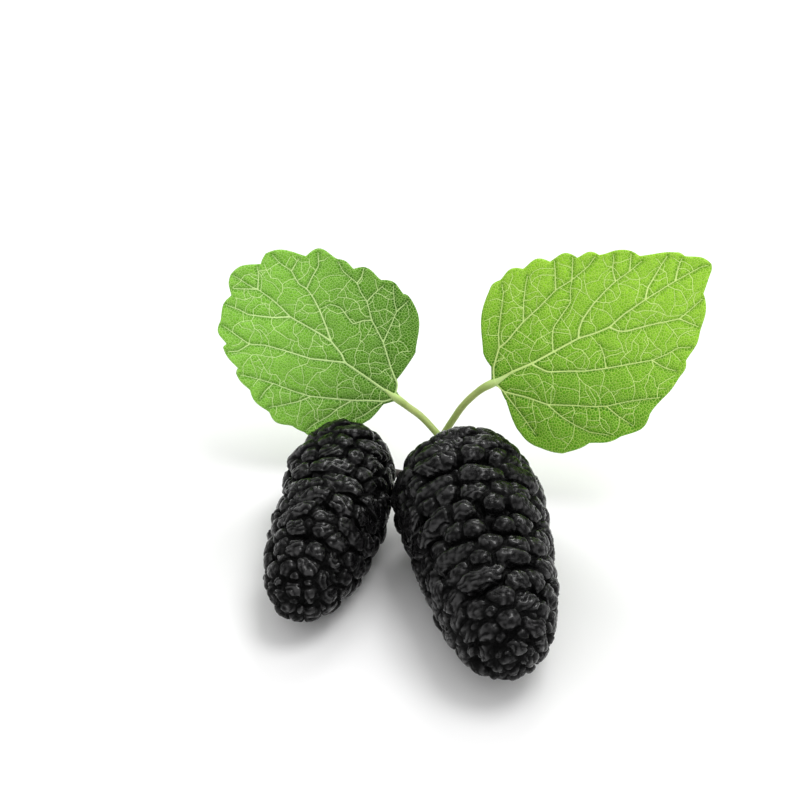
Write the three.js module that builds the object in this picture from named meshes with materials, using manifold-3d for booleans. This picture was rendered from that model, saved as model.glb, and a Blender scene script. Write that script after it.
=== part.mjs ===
// Mulberry sprig, as picked: two ripe berries and two young leaves on a short green shoot.
// Millimetres, +Z up. The sprig lies on the plane z = 0, with the origin under the large berry.
// The berries point towards -Y and the leaves stand up behind them, facing -Y.

import * as THREE from 'three';
import { mergeVertices } from 'three/addons/utils/BufferGeometryUtils.js';
import { ConvexHull } from 'three/addons/math/ConvexHull.js';
import Module from 'manifold-3d';

const wasm = await Module();
wasm.setup();

const vec = (x, y, z) => new THREE.Vector3(x, y, z);

// Berries. The axis runs from the stalk end over a middle control point to the free tip.
// shoulder and nose are the shares of the length that the two rounded ends take, and
// bluntness squares off the shoulder. turn sets where the first row of drupelets begins.
const LARGE_BERRY = {
  base: vec(-2.0, 13.55, 7.2),
  middle: vec(1.37, 0.65, 6.3),
  tip: vec(2.4, -12.25, 5.6),
  radius: 7.27,
  taper: 0.59,
  shoulder: 0.26,
  bluntness: 2.9,
  nose: 0.24,
  rowStep: 2.05,
  drupeletWidth: 2.55,
  relief: 0.85,
  turn: 1.39,
  seed: 11,
};
const SMALL_BERRY = {
  base: vec(-12.44, 19.05, 5.68),
  middle: vec(-12.58, 7.43, 4.64),
  tip: vec(-17.16, -4.18, 4.76),
  radius: 5.63,
  taper: 0.77,
  shoulder: 0.32,
  bluntness: 2.3,
  nose: 0.4,
  rowStep: 2.0,
  drupeletWidth: 2.35,
  relief: 0.75,
  turn: 0.1,
  seed: 23,
};
const DRUPELET_JITTER = 0.16;
const PILLOW_RING = 0.58;
const PILLOW_RING_HEIGHT = 0.82;
const SMALL_DRUPELET = 0.6;
const NOSE_BLUNTNESS = 2.3;
const MERIDIAN_STEPS = 400;

// Leaves. A margin runs from the base to the tip as [along, across, lobe]: lobe is how far
// the edge bulges between that point and the next. A vein leaves the midrib, or the vein
// that it names, at the share `at` of that one's length, and bows to one side.
const LEFT_LEAF = {
  base: vec(-7.44, 24.0, 7.42),
  tip: vec(-23.6, 26.5, 20.76),
  facing: vec(0.11, -0.94, 0.31),
  cup: 0.9,
  upper: [
    [-0.1, -0.4, 0], [0.6, -0.7, 0.05], [1.15, -1.6, 0.05], [1.58, -5.0, 0.62], [5.6, -9.08, 0.14],
    [6.65, -9.08, 0.5], [9.35, -8.83, 0.62], [12.17, -8.0, 0.25], [13.94, -7.77, 0.92],
    [16.54, -6.0, 0.52], [19.77, -3.67, 0.06], [19.46, -2.58, 0.5],
  ],
  lower: [
    [-0.1, 0.4, 0], [0.55, 1.3, 0.05], [0.7, 3.4, 0.35], [3.0, 7.4, 0.3], [5.2, 8.4, 0.05],
    [6.65, 8.6, 0.5], [9.35, 8.9, 0.38], [12.4, 8.18, 0.17], [14.6, 7.65, 0.05],
    [14.77, 7.12, 0.2], [17.27, 6.33, 0.03], [17.17, 5.87, 0.5], [19.04, 4.46, 0.37],
    [19.77, 1.75, 0.22],
  ],
  end: [21.1, 0.15],
  veins: [
    { at: 0.03, to: [13.6, -7.4], bow: -0.8 },
    { on: 0, at: 0.38, to: [7.9, -8.6], bow: -0.3 },
    { on: 0, at: 0.7, to: [10.9, -8.0], bow: 0 },
    { at: 0.42, to: [19.2, -3.8], bow: -1.1 },
    { on: 3, at: 0.52, to: [15.9, -7.0], bow: 0 },
    { at: 0.65, to: [19.2, 3.1], bow: 0.5 },
    { at: 0.3, to: [17.6, 5.0], bow: 1.0 },
    { at: 0.02, to: [13.4, 7.4], bow: 1.1 },
    { on: 7, at: 0.27, to: [5.2, 8.2], bow: 0.3 },
    { on: 7, at: 0.58, to: [9.2, 8.5], bow: 0 },
  ],
};
const RIGHT_LEAF = {
  base: vec(2.31, 20.0, 12.32),
  tip: vec(22.33, 19.6, 26.34),
  facing: vec(-0.02, -0.93, 0.36),
  cup: 0.7,
  upper: [
    [-0.1, -0.42, 0], [0.15, -0.8, 0.04], [0.0, -2.2, 0.08], [-0.58, -5.2, 0.19],
    [0.08, -7.6, 0.14], [2.17, -9.54, 0.15], [5.08, -9.8, 0.3], [8.2, -10.52, 0.62],
    [12.0, -9.8, -0.03], [12.9, -9.4, 0.12], [16.0, -8.2, 0.25], [17.6, -6.96, 0.22],
    [20.0, -5.33, 0.38], [22.27, -2.1, 0], [23.5, -0.98, 0.12],
  ],
  lower: [
    [-0.1, 0.42, 0], [0.6, 1.55, 0.08], [0.8, 3.3, 0.42], [4.46, 8.17, 0.3], [6.3, 8.8, 0.55],
    [8.8, 8.65, 0.65], [11.4, 7.95, 0.68], [13.85, 7.0, 0.47], [15.8, 6.2, 0.62],
    [19.04, 4.15, 0.13], [22.35, 2.6, 0.04], [22.6, 2.0, 0.37],
  ],
  end: [24.35, 0.05],
  veins: [
    { at: 0.02, to: [14.5, 6.2], bow: 1.3 },
    { on: 0, at: 0.2, to: [5.4, 7.4], bow: 0.3 },
    { on: 0, at: 0.45, to: [9.7, 7.9], bow: 0.2 },
    { on: 0, at: 0.75, to: [12.6, 7.4], bow: 0 },
    { at: 0.38, to: [19.6, 3.2], bow: 1.3 },
    { on: 4, at: 0.58, to: [16.9, 5.2], bow: 0 },
    { at: 0.7, to: [20.9, 2.7], bow: 0.2 },
    { at: 0.18, to: [18.5, -6.0], bow: -1.4 },
    { at: 0.52, to: [21.8, -2.7], bow: -1.0 },
    { on: 8, at: 0.66, to: [20.2, -4.5], bow: 0 },
    { at: 0.02, to: [13.7, -9.0], bow: -2.0 },
    { on: 10, at: 0.4, to: [5.9, -9.5], bow: -0.3 },
    { on: 10, at: 0.65, to: [9.7, -9.9], bow: 0 },
  ],
};
const BLADE_THICKNESS = 0.72;
const RIB_HALF_WIDTH = 0.42;
const RIB_BACK = 0.5;
const RIB_FRONT = 0.2;
const BRANCH_SHARE = 0.7;
const RIB_STATION = 1.5;
const RIB_START = 0.55;
const NET_SPACING = 1.9;
const NET_RISE = 0.28;
const NET_REACH = 1.1;
const TIP_DROOP = 0.3;
const HALF_WIDTH = 9;
const RIPPLE = 0.35;
const RIPPLE_TURNS = 7;
const EDGE_CLEARANCE = 0.8;
const POINT_CLEARANCE = 0.24;

// Shoot. Each limb is a route with a radius at its start and at its end. A petiole runs on
// to its leaf, in line with the midrib, and stops short of the blade's base.
const PETIOLE_STOP = 0.5;
const PETIOLE_TURN = 1.6;
const LIMB_SIDES = 8;
const SHOOT = {
  twig: {
    route: [vec(-2.8, 19.9, 5.7), vec(-2.7, 19.6, 3.6), vec(-1.6, 18.9, 1.2)],
    radii: [0.4, 0.9],
  },
  leftPetiole: {
    route: [vec(-2.8, 19.9, 5.3), vec(-4.75, 21.85, 6.5)],
    leaf: LEFT_LEAF,
    radii: [0.38, 0.56],
  },
  rightPetiole: {
    route: [vec(-2.9, 19.9, 5.3), vec(-1.9, 19.95, 7.3), vec(-0.6, 20.0, 9.6)],
    leaf: RIGHT_LEAF,
    radii: [0.38, 0.56],
  },
  largeStalk: {
    route: [vec(-2.5, 19.5, 3.6), vec(-2.35, 17.6, 5.7), vec(-2.1, 14.05, 7.15)],
    radii: [0.5, 0.6],
  },
  smallStalk: {
    route: [
      vec(-2.5, 19.4, 2.8), vec(-5.2, 18.9, 1.5), vec(-8.4, 19.6, 1.5),
      vec(-11.2, 21.1, 3.2), vec(-12.4, 19.65, 5.35),
    ],
    radii: [0.45, 0.5],
  },
};
const LIMB_STEP = 1.2;
const FLARE_LENGTH = 0.25;
const MID_LIMB = 0.85;

const MATERIALS = {
  berry: { color: 0x141216, roughness: 0.38, metalness: 0 },
  leftLeaf: { color: 0x5a9a35, roughness: 0.6, metalness: 0 },
  rightLeaf: { color: 0x84b838, roughness: 0.58, metalness: 0 },
  shoot: { color: 0xa9b86c, roughness: 0.55, metalness: 0 },
};

// Repeatable random numbers from 0 to 1.
function makeRandom(seed) {
  let state = seed >>> 0;
  return () => {
    state = (Math.imul(state, 1664525) + 1013904223) >>> 0;
    return state / 4294967296;
  };
}

function geometryOf(points, triangles) {
  const geometry = new THREE.BufferGeometry();
  const numbers = points.flatMap((p) => [p.x, p.y, p.z]);
  geometry.setAttribute('position', new THREE.Float32BufferAttribute(numbers, 3));
  geometry.setIndex(triangles.flat());
  return geometry;
}

function solidOf(geometry) {
  const bare = geometry.clone();
  bare.deleteAttribute('normal');
  bare.deleteAttribute('uv');
  const merged = mergeVertices(bare, 1e-5);
  return new wasm.Manifold(new wasm.Mesh({
    numProp: 3,
    vertProperties: new Float32Array(merged.attributes.position.array),
    triVerts: new Uint32Array(merged.index.array),
  }));
}

function geometryFrom(solid) {
  const mesh = solid.getMesh();
  const geometry = new THREE.BufferGeometry();
  geometry.setAttribute('position', new THREE.BufferAttribute(mesh.vertProperties, 3));
  geometry.setIndex(new THREE.BufferAttribute(mesh.triVerts, 1));
  geometry.computeVertexNormals();
  return geometry;
}

// Triangles of the convex hull of some points, as index triples that turn outwards.
function hullTriangles(points) {
  const index = new Map(points.map((point, i) => [point, i]));
  const hull = new ConvexHull().setFromPoints(points);
  return hull.faces.map((face) => {
    const edge = face.edge;
    return [edge, edge.next, edge.prev].map((side) => index.get(side.head().point));
  });
}

// Radius under the drupelets at the share t of a berry's length.
function coreRadius(berry, t) {
  const narrowing = 1 - (1 - berry.taper) * Math.max(0, (t - 0.25) / 0.75) ** 1.3;
  const shoulder = Math.min(1, t / berry.shoulder);
  const nose = Math.min(1, (1 - t) / berry.nose);
  const cap = (share, power) => Math.max(0, 1 - (1 - share) ** power) ** (1 / power);
  const ends = cap(shoulder, berry.bluntness) * cap(nose, NOSE_BLUNTNESS);
  return (berry.radius - berry.relief) * narrowing * ends;
}

// Axis, radial direction and outward normal of a berry at the share t and an angle round it.
function berryFrame(berry, t, angle) {
  const axis = new THREE.QuadraticBezierCurve3(berry.base, berry.middle, berry.tip);
  const tangent = axis.getTangent(t);
  const side = tangent.clone().cross(vec(0, 0, 1)).normalize();
  const lift = tangent.clone().cross(side);
  const radial = side.multiplyScalar(Math.cos(angle)).addScaledVector(lift, Math.sin(angle));
  const step = 1e-3;
  const before = Math.max(0, t - step);
  const after = Math.min(1, t + step);
  const rise = coreRadius(berry, after) - coreRadius(berry, before);
  const run = (after - before) * axis.getLength();
  const normal = radial.clone().multiplyScalar(run).addScaledVector(tangent, -rise).normalize();
  const point = axis.getPoint(t).addScaledVector(radial, coreRadius(berry, t));
  return { point, normal };
}

// Shares t of the drupelet rows, evenly spaced over the surface, each with its latitude on
// the sphere that the berry maps onto without changing angles.
function drupeletRows(berry) {
  const length = berry.base.distanceTo(berry.tip);
  const table = [{ t: 0, run: 0, stretch: 0 }];
  for (let i = 1; i <= MERIDIAN_STEPS; i++) {
    const t = i / MERIDIAN_STEPS;
    const last = table[i - 1];
    const rise = coreRadius(berry, t) - coreRadius(berry, last.t);
    const piece = Math.hypot(length / MERIDIAN_STEPS, rise);
    const radius = (coreRadius(berry, t) + coreRadius(berry, last.t)) / 2;
    table.push({ t, run: last.run + piece, stretch: last.stretch + piece / radius });
  }
  const total = table[MERIDIAN_STEPS].run;
  const middle = table[MERIDIAN_STEPS / 2].stretch;
  const count = Math.round(total / berry.rowStep);
  const rows = [];
  for (let k = 1; k < count; k++) {
    const entry = table.find((item) => item.run >= (total * k) / count);
    rows.push({ t: entry.t, latitude: 2 * Math.atan(Math.exp(entry.stretch - middle)) - Math.PI / 2 });
  }
  return rows;
}

// One seed for each drupelet: staggered rows round the berry, and one at each end.
function drupeletSeeds(berry) {
  const random = makeRandom(berry.seed);
  const seeds = [{ t: 0, angle: 0, latitude: -Math.PI / 2, height: 0 }];
  let phase = berry.turn;
  for (const row of drupeletRows(berry)) {
    const around = 2 * Math.PI * (coreRadius(berry, row.t) + berry.relief);
    const count = Math.max(5, Math.round(around / berry.drupeletWidth));
    const step = (2 * Math.PI) / count;
    const growth = Math.min(1, SMALL_DRUPELET + coreRadius(berry, row.t) / (2 * berry.radius));
    phase += step / 2;
    for (let i = 0; i < count; i++) {
      const angle = phase + (i + DRUPELET_JITTER * (2 * random() - 1)) * step;
      const drift = 0.5 * DRUPELET_JITTER * step * Math.cos(row.latitude);
      const latitude = row.latitude + drift * (2 * random() - 1);
      seeds.push({ t: row.t, angle, latitude, height: growth * berry.relief * (0.85 + 0.15 * random()) });
    }
  }
  seeds.push({ t: 1, angle: 0, latitude: Math.PI / 2, height: SMALL_DRUPELET * berry.relief });
  return seeds;
}

// The berry's skin: every drupelet is a pillow that fills its cell between its neighbours.
function berrySkin(berry) {
  const seeds = drupeletSeeds(berry);
  const frames = seeds.map((seed) => berryFrame(berry, seed.t, seed.angle));
  const onSphere = seeds.map(({ latitude, angle }) => {
    const ring = Math.cos(latitude);
    return vec(ring * Math.cos(angle), ring * Math.sin(angle), Math.sin(latitude));
  });
  const cells = hullTriangles(onSphere);
  const points = cells.map((cell) => {
    const corner = vec(0, 0, 0);
    cell.forEach((i) => corner.addScaledVector(frames[i].point, 1 / 3));
    return corner;
  });
  const cellAt = new Map();
  cells.forEach((cell, c) => cell.forEach((a, k) => cellAt.set(`${a},${cell[(k + 1) % 3]}`, c)));
  const triangles = [];
  seeds.forEach((seed, a) => {
    const first = cells.findIndex((cell) => cell.includes(a));
    const corners = [];
    let c = first;
    do {
      corners.push(c);
      const k = cells[c].indexOf(a);
      c = cellAt.get(`${a},${cells[c][(k + 2) % 3]}`);
    } while (c !== first);
    const { point, normal } = frames[a];
    const top = points.push(point.clone().addScaledVector(normal, seed.height)) - 1;
    const ring = corners.map((corner) => {
      const place = point.clone().lerp(points[corner], PILLOW_RING);
      return points.push(place.addScaledVector(normal, seed.height * PILLOW_RING_HEIGHT)) - 1;
    });
    corners.forEach((corner, i) => {
      const next = (i + 1) % corners.length;
      triangles.push([top, ring[i], ring[next]]);
      triangles.push([ring[i], corner, corners[next]]);
      triangles.push([ring[i], corners[next], ring[next]]);
    });
  });
  return geometryOf(points, triangles);
}

// The plane the sprig lies on presses the lowest drupelets flat.
function pressedFlat(geometry) {
  const span = 120;
  const ground = new THREE.BoxGeometry(span, span, span);
  ground.translate(0, 0, -span / 2);
  return geometryFrom(solidOf(geometry).subtract(solidOf(ground)));
}

// Points of one margin from its base to the leaf's end, the lobes leaning towards the end.
function marginPoints(margin, end, outward) {
  const stops = [...margin, [...end, 0]];
  const points = [];
  for (let i = 0; i < margin.length; i++) {
    const from = new THREE.Vector2(stops[i][0], stops[i][1]);
    const to = new THREE.Vector2(stops[i + 1][0], stops[i + 1][1]);
    const chord = to.clone().sub(from);
    const out = new THREE.Vector2(-chord.y, chord.x).normalize().multiplyScalar(outward);
    const pieces = stops[i][2] > 0.35 ? 4 : 2;
    for (let k = 0; k < pieces; k++) {
      const share = k / pieces;
      const bulge = stops[i][2] * Math.sin(Math.PI * share ** 1.3);
      points.push(from.clone().addScaledVector(chord, share).addScaledVector(out, bulge));
    }
  }
  return points;
}

function leafOutline(leaf) {
  const upper = marginPoints(leaf.upper, leaf.end, -1);
  const lower = marginPoints(leaf.lower, leaf.end, 1);
  return [...upper, new THREE.Vector2(...leaf.end), ...lower.reverse()];
}

function isInside(outline, x, y) {
  let inside = false;
  outline.forEach((a, i) => {
    const b = outline[(i + 1) % outline.length];
    const crosses = (a.y > y) !== (b.y > y);
    if (crosses && x < a.x + ((y - a.y) * (b.x - a.x)) / (b.y - a.y)) inside = !inside;
  });
  return inside;
}

// The midrib and every vein as flat curves, each with the thickness of its rib from 0 to 1.
function leafVeins(leaf) {
  const reach = leaf.end[0] - RIB_START;
  const midrib = new THREE.LineCurve(new THREE.Vector2(0.4, 0), new THREE.Vector2(reach, 0));
  const ribs = [];
  leaf.veins.forEach((vein) => {
    const parent = vein.on === undefined ? midrib : ribs[vein.on].curve;
    const from = parent.getPoint(vein.at);
    const to = new THREE.Vector2(...vein.to);
    const chord = to.clone().sub(from);
    const bow = new THREE.Vector2(-chord.y, chord.x).normalize().multiplyScalar(2 * vein.bow);
    const middle = from.clone().addScaledVector(chord, 0.5).add(bow);
    const thickness = vein.on === undefined ? BRANCH_SHARE : BRANCH_SHARE ** 2;
    ribs.push({ curve: new THREE.QuadraticBezierCurve(from, middle, to), thickness });
  });
  return [{ curve: midrib, thickness: 1 }, ...ribs];
}

// Flat points of a leaf: the outline, ribs with a foot on either side, and a net between.
function leafPoints(leaf, outline) {
  const points = outline.map((p) => ({ x: p.x, y: p.y, rib: 0, onVein: false }));
  const clear = (x, y, distance) => points.every((p) => Math.hypot(p.x - x, p.y - y) > distance);
  const add = (x, y, rib, distance) => {
    if (isInside(outline, x, y) && clear(x, y, distance)) points.push({ x, y, rib, onVein: rib > 0 });
  };
  for (const { curve, thickness } of leafVeins(leaf)) {
    const length = curve.getLength();
    const count = Math.max(2, Math.round(length / RIB_STATION));
    for (let i = 0; i <= count; i++) {
      const share = Math.max(i / count, RIB_START / length);
      const width = thickness * (1 - 0.6 * share);
      const p = curve.getPointAt(share);
      const t = curve.getTangentAt(share).multiplyScalar(RIB_HALF_WIDTH * (0.4 + 0.6 * width));
      add(p.x, p.y, width, POINT_CLEARANCE);
      add(p.x - t.y, p.y + t.x, 0, POINT_CLEARANCE);
      add(p.x + t.y, p.y - t.x, 0, POINT_CLEARANCE);
    }
  }
  const rows = Math.ceil(leaf.end[0] / NET_SPACING);
  for (let row = -rows; row <= rows; row++) {
    for (let column = -2; column < 2 * rows; column++) {
      const x = (column + 0.5 * Math.abs(row % 2)) * NET_SPACING;
      add(x, row * NET_SPACING * Math.sin(Math.PI / 3), 0, EDGE_CLEARANCE);
    }
  }
  return points;
}

// Flat triangles that join the points, turning anticlockwise, kept inside the outline.
function flatTriangles(points, outline) {
  const lifted = points.map((p) => vec(p.x, p.y, p.x * p.x + p.y * p.y));
  const kept = [];
  for (const [a, b, c] of hullTriangles(lifted)) {
    const [p, q, r] = [points[a], points[b], points[c]];
    const area = (q.x - p.x) * (r.y - p.y) - (q.y - p.y) * (r.x - p.x);
    const x = (p.x + q.x + r.x) / 3;
    const y = (p.y + q.y + r.y) / 3;
    if (area < -1e-6 && isInside(outline, x, y)) kept.push([a, c, b]);
  }
  return kept;
}

// How far the blade's middle lies in front of the leaf's plane.
function bladeHeight(leaf, point, points) {
  const veins = points.filter((p) => p.onVein);
  const nearest = Math.min(...veins.map((p) => Math.hypot(p.x - point.x, p.y - point.y)));
  const puff = NET_RISE * (1 - Math.exp(-nearest / NET_REACH));
  const width = (point.y / HALF_WIDTH) ** 2;
  const length = point.x / leaf.end[0];
  const ripple = RIPPLE * width * Math.sin(RIPPLE_TURNS * length + 2 * Math.sign(point.y));
  return puff + leaf.cup * width - TIP_DROOP * length ** 2 + ripple;
}

// A blade with the same triangles on its front and its back, and a rim between them.
function leafBlade(leaf) {
  const outline = leafOutline(leaf);
  const flat = leafPoints(leaf, outline);
  const front = flatTriangles(flat, outline);
  const half = BLADE_THICKNESS / 2;
  const heights = flat.map((p) => bladeHeight(leaf, p, flat));
  const fronts = flat.map((p, i) => vec(p.x, p.y, heights[i] + half + RIB_FRONT * p.rib));
  const backs = flat.map((p, i) => vec(p.x, p.y, heights[i] - half - RIB_BACK * p.rib));
  const count = flat.length;
  const edges = new Set(front.flatMap(([a, b, c]) => [`${a},${b}`, `${b},${c}`, `${c},${a}`]));
  const triangles = [...front, ...front.map(([a, b, c]) => [a + count, c + count, b + count])];
  for (const edge of edges) {
    const [a, b] = edge.split(',').map(Number);
    if (!edges.has(`${b},${a}`)) triangles.push([a, a + count, b + count], [a, b + count, b]);
  }
  return geometryOf([...fronts, ...backs], triangles);
}

// The point in line with a leaf's midrib, some way back from the base of its blade.
function beforeBase(leaf, back) {
  const along = leaf.tip.clone().sub(leaf.base).normalize();
  return leaf.base.clone().addScaledVector(along, -back);
}

// A round limb along a route. It is slimmest along its length and flares at its far end.
function limb({ route, radii, leaf }) {
  const toLeaf = leaf ? [PETIOLE_TURN, PETIOLE_STOP].map((back) => beforeBase(leaf, back)) : [];
  const curve = new THREE.CatmullRomCurve3([...route, ...toLeaf]);
  const steps = Math.max(3, Math.round(curve.getLength() / LIMB_STEP));
  const frames = curve.computeFrenetFrames(steps);
  const points = [curve.getPointAt(0)];
  for (let i = 0; i <= steps; i++) {
    const share = i / steps;
    const slim = THREE.MathUtils.lerp(radii[0], radii[1] * MID_LIMB, share);
    const flare = (radii[1] * (1 - MID_LIMB)) * THREE.MathUtils.smoothstep(share, 1 - FLARE_LENGTH, 1);
    for (let k = 0; k < LIMB_SIDES; k++) {
      const angle = (2 * Math.PI * k) / LIMB_SIDES;
      const point = curve.getPointAt(share);
      point.addScaledVector(frames.normals[i], (slim + flare) * Math.cos(angle));
      point.addScaledVector(frames.binormals[i], (slim + flare) * Math.sin(angle));
      points.push(point);
    }
  }
  const last = points.push(curve.getPointAt(1)) - 1;
  const triangles = [];
  const at = (i, k) => 1 + i * LIMB_SIDES + (k % LIMB_SIDES);
  for (let k = 0; k < LIMB_SIDES; k++) {
    triangles.push([0, at(0, k + 1), at(0, k)]);
    triangles.push([last, at(steps, k), at(steps, k + 1)]);
    for (let i = 0; i < steps; i++) {
      triangles.push([at(i, k), at(i, k + 1), at(i + 1, k + 1)]);
      triangles.push([at(i, k), at(i + 1, k + 1), at(i + 1, k)]);
    }
  }
  return geometryOf(points, triangles);
}

// The twig with the two petioles and the two berry stalks, grown as one piece.
function shootBody() {
  const limbs = Object.values(SHOOT).map((part) => solidOf(limb(part)));
  return geometryFrom(limbs.reduce((whole, part) => whole.add(part)));
}

function named(name, geometry, finish) {
  geometry.computeVertexNormals();
  const mesh = new THREE.Mesh(geometry, new THREE.MeshStandardMaterial(finish));
  mesh.name = name;
  return mesh;
}

function placedLeaf(name, leaf, finish) {
  const mesh = named(name, leafBlade(leaf), finish);
  const along = leaf.tip.clone().sub(leaf.base).normalize();
  const across = leaf.facing.clone().cross(along).normalize();
  const facing = along.clone().cross(across);
  mesh.quaternion.setFromRotationMatrix(new THREE.Matrix4().makeBasis(along, across, facing));
  mesh.position.copy(leaf.base);
  return mesh;
}

const group = new THREE.Group();
group.add(named('berry_large', pressedFlat(berrySkin(LARGE_BERRY)), MATERIALS.berry));
group.add(named('berry_small', pressedFlat(berrySkin(SMALL_BERRY)), MATERIALS.berry));
group.add(placedLeaf('leaf_left', LEFT_LEAF, MATERIALS.leftLeaf));
group.add(placedLeaf('leaf_right', RIGHT_LEAF, MATERIALS.rightLeaf));
group.add(named('shoot', shootBody(), MATERIALS.shoot));

export default group;
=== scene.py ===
"""Mulberry sprig: two ripe berries and two young leaves on a short green shoot.

The berries lie on the floor and point towards -Y, and the leaves stand behind them, facing -Y.
Shapes are worked out in millimetres, and each finished piece is brought to metres.
"""

import logging
import math
from dataclasses import dataclass
from enum import Enum

import bmesh
import bpy
import numpy as np
from bpy.types import Material, Mesh, Node, NodeSocket, NodeTree, Object
from mathutils import Euler, Matrix, Vector, kdtree, noise
from mathutils.geometry import delaunay_2d_cdt


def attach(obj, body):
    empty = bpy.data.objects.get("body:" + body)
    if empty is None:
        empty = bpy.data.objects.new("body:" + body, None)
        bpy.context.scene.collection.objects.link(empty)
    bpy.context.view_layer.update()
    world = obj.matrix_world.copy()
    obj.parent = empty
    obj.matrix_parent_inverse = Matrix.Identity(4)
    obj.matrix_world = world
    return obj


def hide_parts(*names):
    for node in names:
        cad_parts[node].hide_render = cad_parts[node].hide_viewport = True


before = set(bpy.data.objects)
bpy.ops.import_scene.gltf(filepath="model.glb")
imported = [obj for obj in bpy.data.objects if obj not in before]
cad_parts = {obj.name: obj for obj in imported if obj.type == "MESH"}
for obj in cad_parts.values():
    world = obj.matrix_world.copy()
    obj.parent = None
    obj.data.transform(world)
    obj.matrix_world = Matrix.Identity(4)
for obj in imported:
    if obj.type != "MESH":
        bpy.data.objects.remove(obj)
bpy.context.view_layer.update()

BODY = "root"
MM = 0.001
NOISE_RANGE = (0.3, 0.7)
# Steps of the repeatable random numbers.
DRAW_FACTOR, DRAW_SHIFT, DRAW_RANGE = 1664525, 1013904223, 2**32
CELL_EDGES = {"voronoi_dimensions": "2D", "feature": "DISTANCE_TO_EDGE"}
# Ramps over the distance from a line of the finest net, in millimetres; the rim ramp paints shade beside the
# lines.
FINE_LINE, FINE_RIM_SHADE, FINE_SWELL = (0.012, 0.05, 1, 0), (0.03, 0.13, 1, 0), (0, 0.16)
# Scale and shift of the noises on a berry's skin.
WANDER, FINE, UNEVEN = (0.9, 3.0), (2.8, 17.0), (1.3, 29.0)
# Distances in millimetres within which points count as one.
WELD_GAP = 1e-4
FILL_GAP = 1e-6

Array = np.ndarray
Pair = tuple[float, float]
Triple = tuple[float, float, float]
Flat, Point, Colour = Pair, Triple, Triple
Ramp, Tint = tuple[float, ...], tuple[float, Colour]

log = logging.getLogger("sprig")


class Slot(Enum):
    """Finish slots of the sprig."""

    BERRY = "berry_skin"
    DEEP_LEAF = "deep_leaf"
    BRIGHT_LEAF = "bright_leaf"
    SHOOT = "green_shoot"


class Drupelet(Enum):
    """Forms of a drupelet, each with the power that squares its rounded blank."""

    PILLOW = 3.4
    ROUND = 2.1
    FOLDED = 2.8
    CURLED = 2.3

    @property
    def index(self) -> int:
        """Number that marks this form on a seed point."""
        return list(Drupelet).index(self)


class Margin(Enum):
    """The two margins of a leaf, by the sign of the measure across the midrib on each."""

    UPPER = -1
    LOWER = 1


# Width and length of each form as shares of its room, and its lift in millimetres.
GROWTH = {
    Drupelet.PILLOW: np.array((1.12, 1.18, -0.06)), Drupelet.ROUND: np.array((1.0, 1.14, 0.06)),
    Drupelet.FOLDED: np.array((1.14, 1.24, -0.08)), Drupelet.CURLED: np.array((1.12, 1.16, 0.0)),
}
# The most that chance adds to those three.
SPREAD = {
    Drupelet.PILLOW: np.array((0.15, 0, 0.12)), Drupelet.ROUND: np.array((0.14, 0, 0.14)),
    Drupelet.FOLDED: np.array((0.24, 0, 0.16)), Drupelet.CURLED: np.zeros(3),
}
# How deeply each form is folded.
FOLDING = {Drupelet.FOLDED: 1.0, Drupelet.PILLOW: 0.3, Drupelet.ROUND: 0.14, Drupelet.CURLED: 1.0}


def unit(vectors: Array) -> Array:
    """Returns a vector, or each row of vectors, at length one."""
    return vectors / np.linalg.norm(vectors, axis=-1, keepdims=True)


def smoothstep(values: Array, low: float, high: float) -> Array:
    """Returns a soft step of some values: 0 up to low, 1 from high, smooth between."""
    share = np.clip((values - low) / (high - low), 0, 1)
    return share * share * (3 - 2 * share)


def smooth_path(stops: Array, step: float) -> Array:
    """Smooth curve through some stops, with no loop where they are close.

    Args:
        stops: Points that the curve passes, flat or in space.
        step: Distance between points of the curve.

    Returns:
        Points of the curve from the first stop to the last.
    """
    stops = np.asarray(stops, float)
    ends = [2 * stops[0] - stops[1], *stops, 2 * stops[-1] - stops[-2]]
    path = []
    for a, b, c, d in zip(ends, ends[1:], ends[2:], ends[3:]):
        before, here, after = (math.sqrt(np.linalg.norm(q - p)) for p, q in ((a, b), (b, c), (c, d)))
        leave = ((b - a) / before - (c - a) / (before + here) + (c - b) / here) * here
        arrive = ((c - b) / here - (d - b) / (here + after) + (d - c) / after) * here
        count = max(2, round(float(np.linalg.norm(c - b)) / step))
        for s in np.linspace(0, 1, count, endpoint=False):
            path.append(
                b * (2 * s**3 - 3 * s**2 + 1) + leave * (s**3 - 2 * s**2 + s)
                + c * (3 * s**2 - 2 * s**3) + arrive * (s**3 - s**2)
            )
    return np.array([*path, stops[-1]])


def kinked_path(stops: Array, step: float) -> Array:
    """Path that runs straight between its stops and only rounds them off a little.

    Args:
        stops: Points of the path.
        step: Distance between points of the finer path.

    Returns:
        Points of the path from the first stop to the last.
    """
    stops = np.asarray(stops, float)
    fine = [
        a + (b - a) * share for a, b in zip(stops, stops[1:])
        for share in np.linspace(0, 1, max(2, round(float(np.linalg.norm(b - a)) / step)), endpoint=False)
    ]
    path = np.array([*fine, stops[-1]])
    path[1:-1] = (path[:-2] + 2 * path[1:-1] + path[2:]) / 4
    return path


def path_shares(path: Array) -> Array:
    """Returns how far along a path each of its points lies, from 0 to 1."""
    run = np.cumsum([0, *np.linalg.norm(np.diff(path, axis=0), axis=1)])
    return run / run[-1]


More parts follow.
